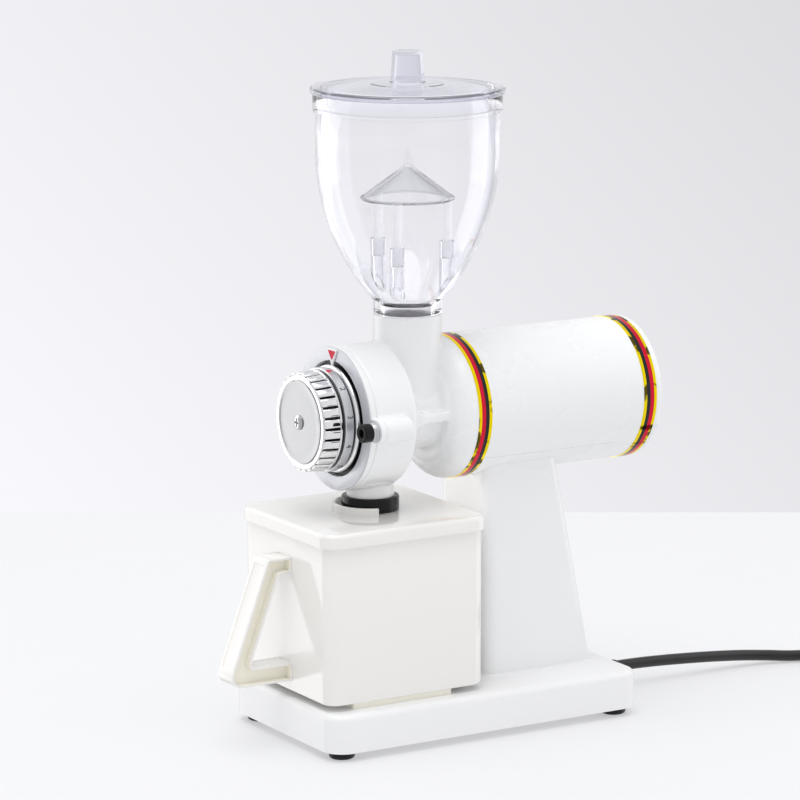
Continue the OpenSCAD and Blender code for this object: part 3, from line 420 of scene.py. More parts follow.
def mixed(tree, mask, first, second):
    """Mixes two colours by a mask"""
    node = put(tree, "ShaderNodeMix", data_type="RGBA", Factor=mask)
    for socket, value in zip(node.inputs[6:8], (first, second)):
        feed(tree, (*value, 1) if isinstance(value, tuple) else value, socket)
    return node.outputs[2]


def overlay(tree, shader, mask, colour):
    """Lays a colour over the shader's base colour by a mask"""
    base = shader.inputs["Base Color"]
    tree.links.new(mixed(tree, mask, base.links[0].from_socket, colour), base)


def make_tone_drift():
    """Lets a colour grow a little lighter and darker over the surface"""
    tree, start, end = group("tone_drift", [("Color", "colour"), ("Amount", "value"), ("Scale", "value")],
                             [("Color", "colour")])
    around = math_node(tree, "SUBTRACT", noise(tree, start.outputs["Scale"], 3), 0.5)
    factor = math_node(tree, "ADD", math_node(tree, "MULTIPLY", around, start.outputs["Amount"]), 1.0)
    scaled = put(tree, "ShaderNodeVectorMath", operation="SCALE", Vector=start.outputs["Color"], Scale=factor)
    tree.links.new(scaled.outputs[0], end.inputs["Color"])


def make_smudges():
    """Roughness that wanders between two values, as on a wiped surface"""
    tree, start, end = group("smudges", [("Low", "value"), ("High", "value"), ("Scale", "value")],
                             [("Roughness", "value")])
    span = put(tree, "ShaderNodeMapRange", interpolation_type="SMOOTHSTEP", From_Min=0.35, From_Max=0.7,
               Value=noise(tree, start.outputs["Scale"], 5), To_Min=start.outputs["Low"], To_Max=start.outputs["High"])
    tree.links.new(span.outputs[0], end.inputs["Roughness"])


def make_fine_texture():
    """Height of a fine grain, from orange peel in enamel to the grain of rubber"""
    tree, start, end = group("fine_texture", [("Scale", "value"), ("Detail", "value")], [("Height", "value")])
    tree.links.new(noise(tree, start.outputs["Scale"], start.outputs["Detail"]), end.inputs["Height"])


def make_turned_rings():
    """Height of the fine rings that a lathe leaves round the dial's axis"""
    tree, start, end = group("turned_rings", [("Vector", "vector"), ("Pitch", "value")], [("Height", "value")])
    parts = put(tree, "ShaderNodeSeparateXYZ", Vector=start.outputs["Vector"])
    square = [math_node(tree, "POWER", parts.outputs[i], 2.0) for i in (0, 2)]
    reach = math_node(tree, "SQRT", math_node(tree, "ADD", *square))
    place = put(tree, "ShaderNodeCombineXYZ", X=math_node(tree, "DIVIDE", reach, start.outputs["Pitch"]))
    tree.links.new(noise(tree, 1.0, 4, place.outputs[0]), end.inputs["Height"])


def blank(name):
    """A material with its Principled shader and the node tree"""
    material = bpy.data.materials.new(name)
    material.use_nodes = True
    return material, material.node_tree, material.node_tree.nodes["Principled BSDF"]


def add_group(tree, name, **values):
    return put(tree, "ShaderNodeGroup", node_tree=bpy.data.node_groups[name], **values).outputs[0]


def bump(tree, shader, height, distance):
    node = put(tree, "ShaderNodeBump", Strength=1.0, Distance=distance, Height=height)
    tree.links.new(node.outputs[0], shader.inputs["Normal"])


def finish(name, colour, rough, drift=(0.03, 30), grain=None, metal=0.0, **sockets):
    """A procedural material: colour that drifts, roughness with smudges, and a fine grain as bump.

    rough is (low, high, scale), drift is (amount, scale), and grain is (scale, detail, height)."""
    material, tree, shader = blank(name)
    tone = add_group(tree, "tone_drift", Color=(*colour, 1), Amount=drift[0], Scale=drift[1])
    tree.links.new(tone, shader.inputs["Base Color"])
    wipe = add_group(tree, "smudges", Low=rough[0], High=rough[1], Scale=rough[2])
    tree.links.new(wipe, shader.inputs["Roughness"])
    if grain:
        bump(tree, shader, add_group(tree, "fine_texture", Scale=grain[0], Detail=grain[1]), grain[2])
    shader.inputs["Metallic"].default_value = metal
    for key, value in sockets.items():
        shader.inputs[key.replace("_", " ")].default_value = value
    return material


def nodes_of(material):
    return material.node_tree, material.node_tree.nodes["Principled BSDF"]


def two_tone(material, attribute, colour):
    """Lays a second colour over the faces that an attribute marks"""
    tree, shader = nodes_of(material)
    overlay(tree, shader, put(tree, "ShaderNodeAttribute", attribute_name=attribute).outputs["Fac"], colour)


def painted_edge_shade(material, colour, start, power):
    """Paints edge shade on a clear material, on its rim and where its outer side is seen edge on, from a start slant:
    partly the plastic's own tint, partly painted shade and reflection
    """
    tree, shader = nodes_of(material)
    slant = put(tree, "ShaderNodeLayerWeight", Blend=0.5)
    span = put(tree, "ShaderNodeMapRange", From_Min=start, Value=slant.outputs["Facing"])
    rim = put(tree, "ShaderNodeAttribute", attribute_name="rim")
    mask = math_node(tree, "MAXIMUM", math_node(tree, "POWER", span.outputs[0], power), rim.outputs["Fac"])
    side = put(tree, "ShaderNodeNewGeometry")
    outer = math_node(tree, "SUBTRACT", 1.0, side.outputs["Backfacing"])
    overlay(tree, shader, math_node(tree, "MULTIPLY", mask, outer), colour)


def painted_inner_glow(material, colour, strength):
    """Paints a glow on a clear wall's inner side, standing in for light led along it"""
    tree, shader = nodes_of(material)
    side = put(tree, "ShaderNodeNewGeometry")
    tree.links.new(mixed(tree, side.outputs["Backfacing"], (0, 0, 0), colour), shader.inputs["Emission Color"])
    shader.inputs["Emission Strength"].default_value = strength


def spun_metal(name, colour, rough, pitch, height, waviness):
    """Metal with lathe rings round the dial's axis, and waves that many times as high"""
    material = finish(name, colour, rough, metal=1.0)
    tree, shader = nodes_of(material)
    centred = put(tree, "ShaderNodeMapping", Location=(0, 0, -AXIS_Z), Vector=own_place(tree))
    rings = add_group(tree, "turned_rings", Pitch=pitch, Vector=centred.outputs[0])
    waves = math_node(tree, "MULTIPLY", add_group(tree, "fine_texture", Scale=170, Detail=2), waviness)
    bump(tree, shader, math_node(tree, "ADD", rings, waves), height)
    return material


def stripe_foil(name, start, end, stripes, shade):
    """Foil printed with stripes across the motor, with dark patches where it is bare: partly the foil's pattern, partly
    painted reflection.

    Stripes are (share of the width, colour, metallic), and fully metallic ones are bare."""
    material, tree, shader = blank(name)
    parts = put(tree, "ShaderNodeSeparateXYZ", Vector=own_place(tree))
    share = put(tree, "ShaderNodeMapRange", From_Min=start, From_Max=end, Value=parts.outputs["Y"])
    for socket in ("Base Color", "Metallic"):
        ramp = put(tree, "ShaderNodeValToRGB", Fac=share.outputs[0])
        ramp.color_ramp.interpolation = "CONSTANT"
        stops, edge = ramp.color_ramp.elements, 0.0
        for i, (width, colour, metal) in enumerate(stripes):
            stop = stops[i] if i < 1 else stops.new(edge)
            stop.position = edge
            stop.color = (*colour, 1) if socket == "Base Color" else (metal, metal, metal, 1)
            edge += width
        stops.remove(stops[-1])
        tree.links.new(ramp.outputs[0], shader.inputs[socket])
    # Dark patches on the bare foil: partly its pattern, partly painted reflection
    patches = put(tree, "ShaderNodeMapRange", From_Min=0.56, From_Max=0.6, Value=noise(tree, 75, 3))
    bare = math_node(tree, "GREATER_THAN", shader.inputs["Metallic"].links[0].from_socket, 0.95)
    overlay(tree, shader, math_node(tree, "MULTIPLY", patches.outputs[0], bare), shade)
    tree.links.new(add_group(tree, "smudges", Low=0.06, High=0.12, Scale=60), shader.inputs["Roughness"])
    return material


def make_finishes(colours):
    """Makes the node groups and all materials, each under the name of its slot or use"""
    make_tone_drift()
    make_smudges()
    make_fine_texture()
    make_turned_rings()
    c = {key: tuple(getattr(colours, key)) for key in colours.__annotations__}
    peel, moulded, rubbery = (420, 2, 0.004 * MM), (1500, 2, 0.002 * MM), (900, 4, 0.03 * MM)
    brushed = (700, 5, 0.003 * MM)
    coat = {"Coat_Weight": 0.35, "Coat_Roughness": 0.06, "IOR": 1.5}
    matt, dull = {"Specular_IOR_Level": 0.2}, {"Specular_IOR_Level": 0.15}
    # Milky plastic for the guard's rods, with a weak emission that paints a glow on them
    milky = {"Transmission_Weight": 0.75, "IOR": 1.12, "Emission_Color": (0.97, 0.97, 1, 1), "Emission_Strength": 0.06}
    for name, colour, rough, drift, grain, metal, sockets in (
            ("white_enamel", c["enamel"], (0.27, 0.31, 9), (0.003, 6), peel, 0, coat),
            ("white_moulding", c["moulding"], (0.28, 0.33, 9), (0.003, 6), moulded, 0, {}),
            ("ivory_plastic", c["ivory"], (0.08, 0.11, 9), (0.01, 6), moulded, 0, coat),
            ("handle_ivory", c["ivory"], (0.15, 0.19, 9), (0.01, 6), moulded, 0, coat),
            ("chrome", c["chrome"], (0.07, 0.13, 60), (0.03, 50), brushed, 1, {}),
            ("knob_chrome", c["chrome"], (0.07, 0.13, 60), (0.03, 50), brushed, 1, {}),
            ("dial_satin", c["satin"], (0.32, 0.42, 60), (0.04, 80), brushed, 0.9, {}),
            ("face_grey", c["face"], (0.36, 0.46, 40), (0.03, 50), brushed, 0.5, {}),
            ("pointer_red", c["red"], (0.3, 0.4, 60), (0.05, 200), moulded, 0, dull),
            ("pointer_white", c["moulding"], (0.3, 0.4, 60), (0.02, 200), moulded, 0, {}),
            ("number_ink", c["black"], (0.4, 0.5, 200), (0.1, 300), moulded, 0, {}),
            # A near-black finish that paints the shade in the dial's gaps and recesses
            ("dark_gap", (0.006, 0.006, 0.007), (0.4, 0.55, 60), (0.1, 90), moulded, 0, {}),
            ("black_steel", c["black"], (0.3, 0.42, 60), (0.15, 90), rubbery, 0, matt),
            ("plain_steel", (0.6, 0.6, 0.62), (0.22, 0.36, 60), (0.06, 60), brushed, 1, {}),
            ("burr_steel", (0.5, 0.51, 0.53), (0.25, 0.4, 60), (0.08, 80), brushed, 1, {}),
            ("core_iron", (0.2, 0.2, 0.22), (0.45, 0.6, 50), (0.2, 90), rubbery, 0.8, {}),
            ("copper", (0.55, 0.22, 0.08), (0.3, 0.45, 90), (0.2, 300), brushed, 1, {}),
            ("black_rubber", c["rubber"], (0.42, 0.55, 60), (0.15, 60), rubbery, 0, matt),
            ("ring_rubber", c["black"], (0.2, 0.28, 60), (0.1, 60), moulded, 0, matt),
            ("cord_rubber", c["rubber"], (0.3, 0.4, 60), (0.15, 60), rubbery, 0, {}),
            ("black_plastic", c["black"], (0.35, 0.48, 60), (0.1, 60), moulded, 0, {}),
            ("capacitor_case", (0.7, 0.71, 0.73), (0.3, 0.4, 50), (0.05, 40), brushed, 1, {}),
            ("milky_rod", c["clear"], (0.1, 0.2, 30), (0.02, 30), None, 0, milky),
            ("terminal_ivory", (0.7, 0.6, 0.36), (0.4, 0.5, 60), (0.05, 60), moulded, 0, {})):
        MADE[name] = finish(name, colour, rough, drift, grain, metal, **sockets)
    MADE["dial_white"] = MADE.pop("dial_satin")
    MADE["spun_disc"] = spun_metal("spun_disc", c["disc"], (0.16, 0.24, 40), 0.5 * MM, 0.01 * MM, 12)
    # Second colours laid by masks: a painted warm glow on the pad's sides and in the handle's channel, and painted
    # shade down the knob's ribs
    for name, mark, tone in (("white_moulding", "pad", "painted_glow_cream"), ("handle_ivory", "recess", "painted_glow_cream"),
                             ("knob_chrome", "flank", "flank")):
        two_tone(MADE[name], mark, c[tone])
    for name, tone, tint, start, power, ior, gloss in (
            ("clear_plastic", "clear", "painted_clear_edge", 0, 2.6, 1.17, 1.0),
            ("clear_lid", "lid", "painted_clear_edge", 0.88, 1.5, 1.08, 0.0),
            ("clear_rod", "clear", "painted_clear_edge", 0, 1.3, 1.2, 0.0),
            ("clear_cone", "clear", "painted_cone_edge", 0.4, 1, 1.12, 0.0)):
        MADE[name] = finish(name, c[tone], (0.01, 0.04, 30), (0.01, 12), None, Transmission_Weight=1.0, IOR=ior,
                            Coat_Weight=gloss, Coat_Roughness=0.02)
        painted_edge_shade(MADE[name], c[tint], start, power)
    # Painted glow on the lid's inner side
    painted_inner_glow(MADE["clear_lid"], (0.89, 0.89, 1), 0.05)
    widths = (1.7, 2.4, 2.2, 1.8)
    inks = ((c["gold"], 1.0), (c["red"], 0.7), (c["black"], 0.3), (c["gold"], 1.0))
    stripes = [(w / sum(widths), *ink) for w, ink in zip(widths, inks)]
    front, rear = Span("front_band"), Span("rear_band")
    for node, start, end in (("front_band", front.low.y, front.high.y), ("rear_band", rear.high.y, rear.low.y)):
        MADE[node] = stripe_foil(f"stripe_foil_{node}", start, end, stripes, c["olive"])


class GrinderSizes(bpy.types.PropertyGroup):
    """Sizes of the details that the solids leave plain"""

    base_corner: FloatProperty(name="Base corner", description="Radius of the base's corners from above",
                               default=12 * MM, unit="LENGTH")
    base_edge: FloatProperty(name="Base edge", description="Radius along the base's top edge",
                             default=3.5 * MM, unit="LENGTH")
    column_edge: FloatProperty(name="Column edge", description="Radius of the column's upright edges",
                               default=7 * MM, unit="LENGTH")
    cast_grain: FloatProperty(name="Casting grain", description="Cell size of the head casting's soft form",
                              default=0.9 * MM, unit="LENGTH")
    flutes: IntProperty(name="Flutes", description="Number of slots round the knob", default=28)
    flute_gap: FloatProperty(name="Flute gap", description="Width of the slots between the knob's ribs",
                             default=0.9 * MM, unit="LENGTH")
    digit: FloatProperty(name="Digit height", description="Height of the dial's numbers",
                         default=4.4 * MM, unit="LENGTH")
    digit_step: FloatProperty(name="Digit step", description="Angle between the dial's numbers",
                              default=math.radians(33), subtype="ANGLE")
    digit_first: FloatProperty(name="First digit", description="Angle from the pointer to the red mark",
                               default=math.radians(12), subtype="ANGLE")
    bin_corner: FloatProperty(name="Bin corner", description="Radius of the bin's upright edges",
                              default=8 * MM, unit="LENGTH")
    bin_lid_edge: FloatProperty(name="Bin lid edge", description="Radius along the bin lid's top edge",
                                default=2.4 * MM, unit="LENGTH")
    handle_rim: FloatProperty(name="Handle rim", description="Width of the rims along the handle's sides",
                              default=1.2 * MM, unit="LENGTH")
    handle_recess: FloatProperty(name="Handle recess", description="Depth of the channel in the handle's sides",
                                 default=4.8 * MM, unit="LENGTH")
    cord: FloatProperty(name="Cord", description="Diameter of the mains lead", default=6.2 * MM, unit="LENGTH")
    coil_pitch: FloatProperty(name="Coil pitch", description="Distance between the coil's turns and layers",
                              default=6.8 * MM, unit="LENGTH")


class GrinderColours(bpy.types.PropertyGroup):
    """Colours of the finishes"""

    enamel: FloatVectorProperty(name="Enamel", description="Paint of motor, head and column", subtype="COLOR",
                                default=(0.93, 0.935, 0.94))
    moulding: FloatVectorProperty(name="Moulding", description="Plastic of the base", subtype="COLOR",
                                  default=(0.94, 0.94, 0.945))
    ivory: FloatVectorProperty(name="Ivory", description="Plastic of the bin", subtype="COLOR",
                               default=(0.93, 0.915, 0.89))
    # Painted glow: a warm cream for light coming through the translucent ivory bin, in the handle's channel and on the
    # pad's sides
    painted_glow_cream: FloatVectorProperty(name="Cream", description="Handle's channel and pad's sides", subtype="COLOR",
                               default=(0.98, 0.95, 0.84))
    clear: FloatVectorProperty(name="Clear", description="Plastic of the hopper", subtype="COLOR",
                               default=(0.99, 0.99, 1.0))
    lid: FloatVectorProperty(name="Lid", description="Plastic of the hopper's lid", subtype="COLOR",
                             default=(0.875, 0.875, 0.9))
    # Partly painted shade: darker colours for the clear plastic seen edge on, partly its own tint, partly the shade and
    # reflections at its edges
    painted_clear_edge: FloatVectorProperty(name="Clear edge", description="Tint of the hopper seen edge on",
                                    subtype="COLOR", default=(0.56, 0.56, 0.72))
    painted_cone_edge: FloatVectorProperty(name="Cone edge", description="Tint of the bean guard seen edge on",
                                   subtype="COLOR", default=(0.2, 0.2, 0.23))
    chrome: FloatVectorProperty(name="Chrome", description="Plating of the knob", subtype="COLOR",
                                default=(0.9, 0.9, 0.91))
    # Painted shade: a darker plating colour laid on the ribs' lower flanks, for the shade in the slots between them
    flank: FloatVectorProperty(name="Flank", description="Plating down between the knob's ribs", subtype="COLOR",
                               default=(0.38, 0.38, 0.39))
    disc: FloatVectorProperty(name="Disc", description="Spun metal on the knob's face", subtype="COLOR",
                              default=(0.37, 0.37, 0.38))
    satin: FloatVectorProperty(name="Satin", description="Metal of the number ring", subtype="COLOR",
                               default=(0.74, 0.745, 0.765))
    face: FloatVectorProperty(name="Face", description="Ring round the dial", subtype="COLOR",
                              default=(0.6, 0.605, 0.64))
    red: FloatVectorProperty(name="Red", description="Pointer and stripes", subtype="COLOR",
                             default=(0.72, 0.008, 0.04))
    gold: FloatVectorProperty(name="Gold", description="Foil of the stripe bands", subtype="COLOR",
                              default=(1.0, 0.78, 0.005))
    # Partly painted reflection: dark patches laid on the bare foil, the rest its pattern
    olive: FloatVectorProperty(name="Olive", description="Dark patches in the foil", subtype="COLOR",
                               default=(0.12, 0.09, 0.008))
    black: FloatVectorProperty(name="Black", description="Screws, numbers, spout ring and stripes", subtype="COLOR",
                               default=(0.008, 0.008, 0.009))
    rubber: FloatVectorProperty(name="Rubber", description="Feet and mains lead", subtype="COLOR",
                                default=(0.012, 0.012, 0.013))


class GrinderStage(bpy.types.PropertyGroup):
    """Light, floor and camera"""

    ambient: FloatProperty(name="Ambient", description="Strength of the light from all round", default=0.74)
    slant: FloatProperty(name="Slant", description="How much more of that light comes from the right", default=0.13)
    back: FloatProperty(name="Back", description="How much more light the backdrop gives off", default=0.08)
    top_power: FloatProperty(name="Top light", description="Power of the softbox above", default=17, unit="POWER")
    card_power: FloatProperty(name="Cards", description="Power of the cards that the gloss mirrors", default=3.8,
                              unit="POWER")
    gap_power: FloatProperty(name="Gap", description="Power of the light on the column behind the bin", default=0.0022,
                             unit="POWER")
    floor: FloatVectorProperty(name="Floor", description="Colour of the floor", subtype="COLOR",
                               default=(0.46, 0.463, 0.475))
    glow: FloatProperty(name="Glow", description="Light that the floor gives off itself", default=0.4)
    lens: FloatProperty(name="Lens", description="Focal length of the camera in millimetres", default=183.24)


class PieceOperator:
    """What every operator of this file shares"""

    bl_options = {"REGISTER", "UNDO"}

    def execute(self, context):
        self.make(context.scene.grinder_sizes)
        return {"FINISHED"}


class GRINDER_OT_camera(bpy.types.Operator):
    """Places the camera at the photo's viewing angle"""

    bl_idname = "grinder.camera"
    bl_label = "Camera"

    def execute(self, context):
        deselect()
        target, toward, distance = at(0, -4.7, 177.89), Vector((0.8403, -0.5071, 0.1917)), 2.17844
        place = target + toward * distance
        bpy.ops.object.camera_add(location=place)
        camera = added("camera")
        camera.rotation_euler = (target - place).to_track_quat("-Z", "Y").to_euler()
        camera.data.lens = context.scene.grinder_stage.lens
        camera.data.sensor_width = 36
        camera.data.clip_start, camera.data.clip_end = 0.1, 50
        context.scene.camera = camera
        return {"FINISHED"}


def coil_points(pitch):
    """Middle line of the lead, from the base to the plug, in millimetres from the hopper's axis"""
    run = [(0, LEAD_Y, LEAD_Z), (0, LEAD_Y + 10, LEAD_Z), (0, LEAD_Y + 20, LEAD_Z), (0, 150, 11.6), (0, 165, 11),
           (0, 180, 10.1), (0, 195, 9), (0, 210, 7.7), (0.5, 225, 6.2), (2.5, 240, 4.6), (7, 254, 3.5),
           (11, 266, 3.6), (13, 279, 3.9)]
    centre, low, turns = Vector((55, 302)), 4.1, 2
    outer = 34 + pitch * (turns + 0.25) / 2
    run.append((centre.x - outer, centre.y - 10, low))
    for i in range(int(24 * (2 * turns + 0.5)) + 1):
        t = i / 24
        radius = outer - pitch * (turns + 0.25 - abs(t - turns - 0.25))
        turn = math.pi - TURN * t
        height = low + pitch * min(1, max(0, (t - turns) * 2))
        run.append((centre.x + radius * math.cos(turn), centre.y + radius * math.sin(turn), height))
    x, y, z = run[-1]
    return run + [(x, y - 13, z), (x, y - 26, z)]


class GRINDER_OT_cord(PieceOperator, bpy.types.Operator):
    """Lays the mains lead, with its boot, strap and plug"""

    bl_idname = "grinder.cord"
    bl_label = "Mains lead"

    def make(self, sizes):
        run = [at(*p) for p in coil_points(sizes.coil_pitch / MM)]
        deselect()
        bpy.ops.curve.primitive_bezier_curve_add()
        lead = added("mains_cord")
        bpy.ops.object.mode_set(mode="EDIT")
        bpy.ops.curve.select_all(action="SELECT")
        bpy.ops.curve.delete(type="VERT")
        bpy.ops.object.mode_set(mode="OBJECT")
        spline = lead.data.splines.new("BEZIER")
        spline.bezier_points.add(len(run) - 1)
        for knot, point in zip(spline.bezier_points, run):
            knot.co = point
            knot.handle_left_type = knot.handle_right_type = "AUTO"
        spline.resolution_u = 6
        lead.data.dimensions = "3D"
        lead.data.bevel_depth = sizes.cord / 2
        lead.data.bevel_resolution = 5
        lead.data.use_fill_caps = True
        lead.data.materials.append(MADE["cord_rubber"])
        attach(lead, "frame")
        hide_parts("cord_run", "cord_coil")

        ribs = [(3.2, 0.2), (6.1, 0.2), (6.1, 3.4)]
        for i in range(6):
            r = 5.6 - i * 0.35
            y = 4.2 + i * 2.6
            ribs += [(r - 0.9, y - 0.5), (r - 0.9, y + 0.3), (r, y + 0.7), (r, y + 1.7)]
        ribs += [(3.7, 19.4), (3.5, 20), (3.2, 20)]
        boot = turned("cord_boot", ribs, at(0, LEAD_Y, LEAD_Z), axis="Y", steps=48)
        dress(boot, "frame", "black_rubber", "strain_relief")

        strap = eased("cord_strap", "cord_tie", "frame", "black_plastic", 0.25)

        body, pins = Span("plug_body"), Span("plug_pins")
        half_w, half_h = body.size.x / 2 / MM, body.size.z / 2 / MM
        front, neck = body.low.y, body.high.y - 14 * MM
        outline = rounded_corners([(-half_w, -half_h, 10), (half_w, -half_h, 10), (half_w, half_h, 10),
                                   (-half_w, half_h, 10)], 8)
        points = [Vector((body.mid.x + x * MM, neck, body.mid.z + z * MM)) for x, z in outline]
        plug = drawn("plug_moulding", points, Vector((0, front - neck, 0)))
        with editing(plug):
            choose(plug, "FACE", lambda f: f.normal.y > 0.9)
            bpy.ops.mesh.inset(thickness=3.5 * MM)
            bpy.ops.transform.translate(value=(0, 9 * MM, 0))
            bpy.ops.mesh.inset(thickness=1.2 * MM)
            bpy.ops.transform.translate(value=(0, 5 * MM, 0))
            choose(plug, "FACE", lambda f: f.normal.y < -0.9)
            bpy.ops.mesh.inset(thickness=1.4 * MM)
            push((0, 0.8 * MM, 0))
        soften(plug, 0.9 * MM, 3, 40)
        dress(plug, "frame", "black_rubber", "plug_body")

        tip = [(0, 0), (1.2, 0), (1.8, 0.5), (2, 1.2), (2, 18.8), (2.4, 19.2), (2.4, 20.5), (0, 20.5)]
        start = Vector((pins.low.x + 2 * MM, pins.low.y, pins.mid.z))
        left = turned("plug_pin_left", tip, start, axis="Y", steps=32, closed=False)
        right = copied(left, "plug_pin_right", Vector((pins.size.x - 4 * MM, 0, 0)))
        for pin in (left, right):
            dress(pin, "frame", "plain_steel", "plug_pins")


class GRINDER_OT_base(PieceOperator, bpy.types.Operator):
    """Moulds the base with its pad, hollow from below"""

    bl_idname = "grinder.base"
    bl_label = "Base"

    def make(self, sizes):
        span, plate = Span("base_shell"), Span("bottom_plate")
        pad_top, top = span.high.z, Span("stand_column").low.z
        base = block("base_moulding", span.low, (span.high.x, span.high.y, top))
        bevel_edges(base, upright, sizes.base_corner, 12)
        bevel_edges(base, above(top), sizes.base_edge, 6)
        with editing(base):
            choose(base, "FACE", lambda f: f.normal.z < -0.9)
            bpy.ops.mesh.inset(thickness=0.6 * MM)
            bpy.ops.mesh.inset(thickness=plate.low.x - span.low.x - 0.9 * MM)
            push((0, 0, top - span.low.z - 3 * MM))
        pad = block("pad", (-44.4 * MM, HOPPER_Y - 60 * MM, top - 1.5 * MM), (44.4 * MM, HOPPER_Y + 1 * MM, pad_top))
        bevel_edges(pad, upright, 1.2 * MM, 4)
        bevel_edges(pad, above(pad_top), 0.4 * MM, 3)
        combine(base, pad, "UNION")
        combine(base, turned("boot_hole", [(4.9, -8), (4.9, 3), (0, 3), (0, -8)], at(0, LEAD_Y, LEAD_Z), "Y", 32))
        # Paints a warm glow on the pad's sides under the bin, for light coming through the bin
        mark_faces(base, "pad", lambda f: f.center.z > top + 0.3 * MM and abs(f.normal.z) < 0.5)
        dress(base, "frame", "white_moulding", "base_shell")


class GRINDER_OT_feet(PieceOperator, bpy.types.Operator):
    """Turns one rubber foot and copies it to the other corners"""

    bl_idname = "grinder.feet"
    bl_label = "Feet"

    def make(self, sizes):
        span = Span("rubber_feet")
        reach = 7.25 * MM
        x, front, rear = span.high.x - reach, span.low.y + reach, span.high.y - reach
        outline = [(2.4, 0.9), (4, 0.9), (4.4, 0), (5.9, 0), (6.6, 0.5), (6.9, 1.2), (7.25, 4), (7.25, 4.48),
                   (2.4, 4.48)]
        foot = turned("foot_front_left", outline, Vector((-x, front, 0)), steps=48)
        feet = [foot] + [copied(foot, name, Vector(shift)) for name, shift in (
            ("foot_front_right", (2 * x, 0, 0)), ("foot_rear_left", (0, rear - front, 0)),
            ("foot_rear_right", (2 * x, rear - front, 0)))]
        for foot in feet:
            dress(foot, "frame", "black_rubber", "rubber_feet")


class GRINDER_OT_column(PieceOperator, bpy.types.Operator):
    """Raises the hollow column, saddled to the motor"""

    bl_idname = "grinder.column"
    bl_label = "Column"

    def make(self, sizes):
        span = Span("stand_column")
        lean, wall, foot = math.tan(math.radians(11.6)), 3 * MM, 0.8 * MM

        def shell(name, inset, low):
            top = AXIS_Z
            obj = block(name, (span.low.x + inset, span.low.y + inset, low),
                        (span.high.x - inset, span.high.y - inset, top))
            with editing(obj):
                choose(obj, "VERT", lambda v: v.co.y > span.mid.y and v.co.z > span.mid.z)
                bpy.ops.transform.translate(value=(0, -(top - low) * lean, 0))
            bevel_edges(obj, lambda e: abs(e.verts[0].co.z - e.verts[1].co.z) > 50 * MM,
                        sizes.column_edge - inset * 0.8, 8)
            return obj

        column = shell("column_casting", 0, span.low.z + foot)
        with editing(column):
            choose(column, "FACE", lambda f: f.normal.z < -0.9)
            push((0, 0, -foot))
            bpy.ops.transform.resize(value=(1.03, 1.022, 1))
        hollow = shell("hollow", wall, span.low.z - 1 * MM)
        combine(hollow, round_bar("motor_room", MOTOR_R + 3, -10, 150, on_axis(0), "Y", 96))
        combine(column, hollow)
        combine(column, round_bar("motor_room", MOTOR_R + 0.03, -10, 150, on_axis(0), "Y", 128))
        switch, lip = Span("switch_frame"), 1.0 * MM
        combine(column, block("switch_hole", (span.low.x - 5 * MM, switch.low.y + lip, switch.low.z + lip),
                              (span.low.x + 8 * MM, switch.high.y - lip, switch.high.z - lip)))
        dress(column, "frame", "white_enamel", "stand_column")


class GRINDER_OT_motor(PieceOperator, bpy.types.Operator):
    """Turns the motor's tube, rear cap and stripe bands"""

    bl_idname = "grinder.motor"
    bl_label = "Motor"

    def make(self, sizes):
        span = Span("motor_housing")
        length = span.size.y / MM
        tube = turned("motor_tube", [(36.5, 0), (MOTOR_R, 0), (MOTOR_R, length), (36.5, length)],
                      on_line(span.low.y), "Y", 160)
        seam = block("seam", Vector((MOTOR_R - 0.25, 30, -0.22)) * MM, Vector((MOTOR_R + 0.5, 113, 0.22)) * MM)
        seam.rotation_euler = (0, math.radians(39), 0)
        seam.location = on_axis(0)
        combine(tube, settle(seam))
        dress(tube, "frame", "white_enamel", "motor_housing")
        cap = from_node("motor_cap", "rear_cap")
        dress(cap, "frame", "white_enamel", "rear_cap", angle=40)
        for node in ("front_band", "rear_band"):
            band = Span(node)
            width = band.size.y / MM
            inside, edge, face = MOTOR_R + 0.02, MOTOR_R + 0.2, MOTOR_R + 0.25
            outline = [(inside, 0), (edge, 0), (face, 0.05), (face, width - 0.05), (edge, width), (inside, width)]
            strip = turned(f"stripe_{node}", outline, on_line(band.low.y), "Y", 160)
            dress(strip, "frame", "stripe_foil", node, look=node)


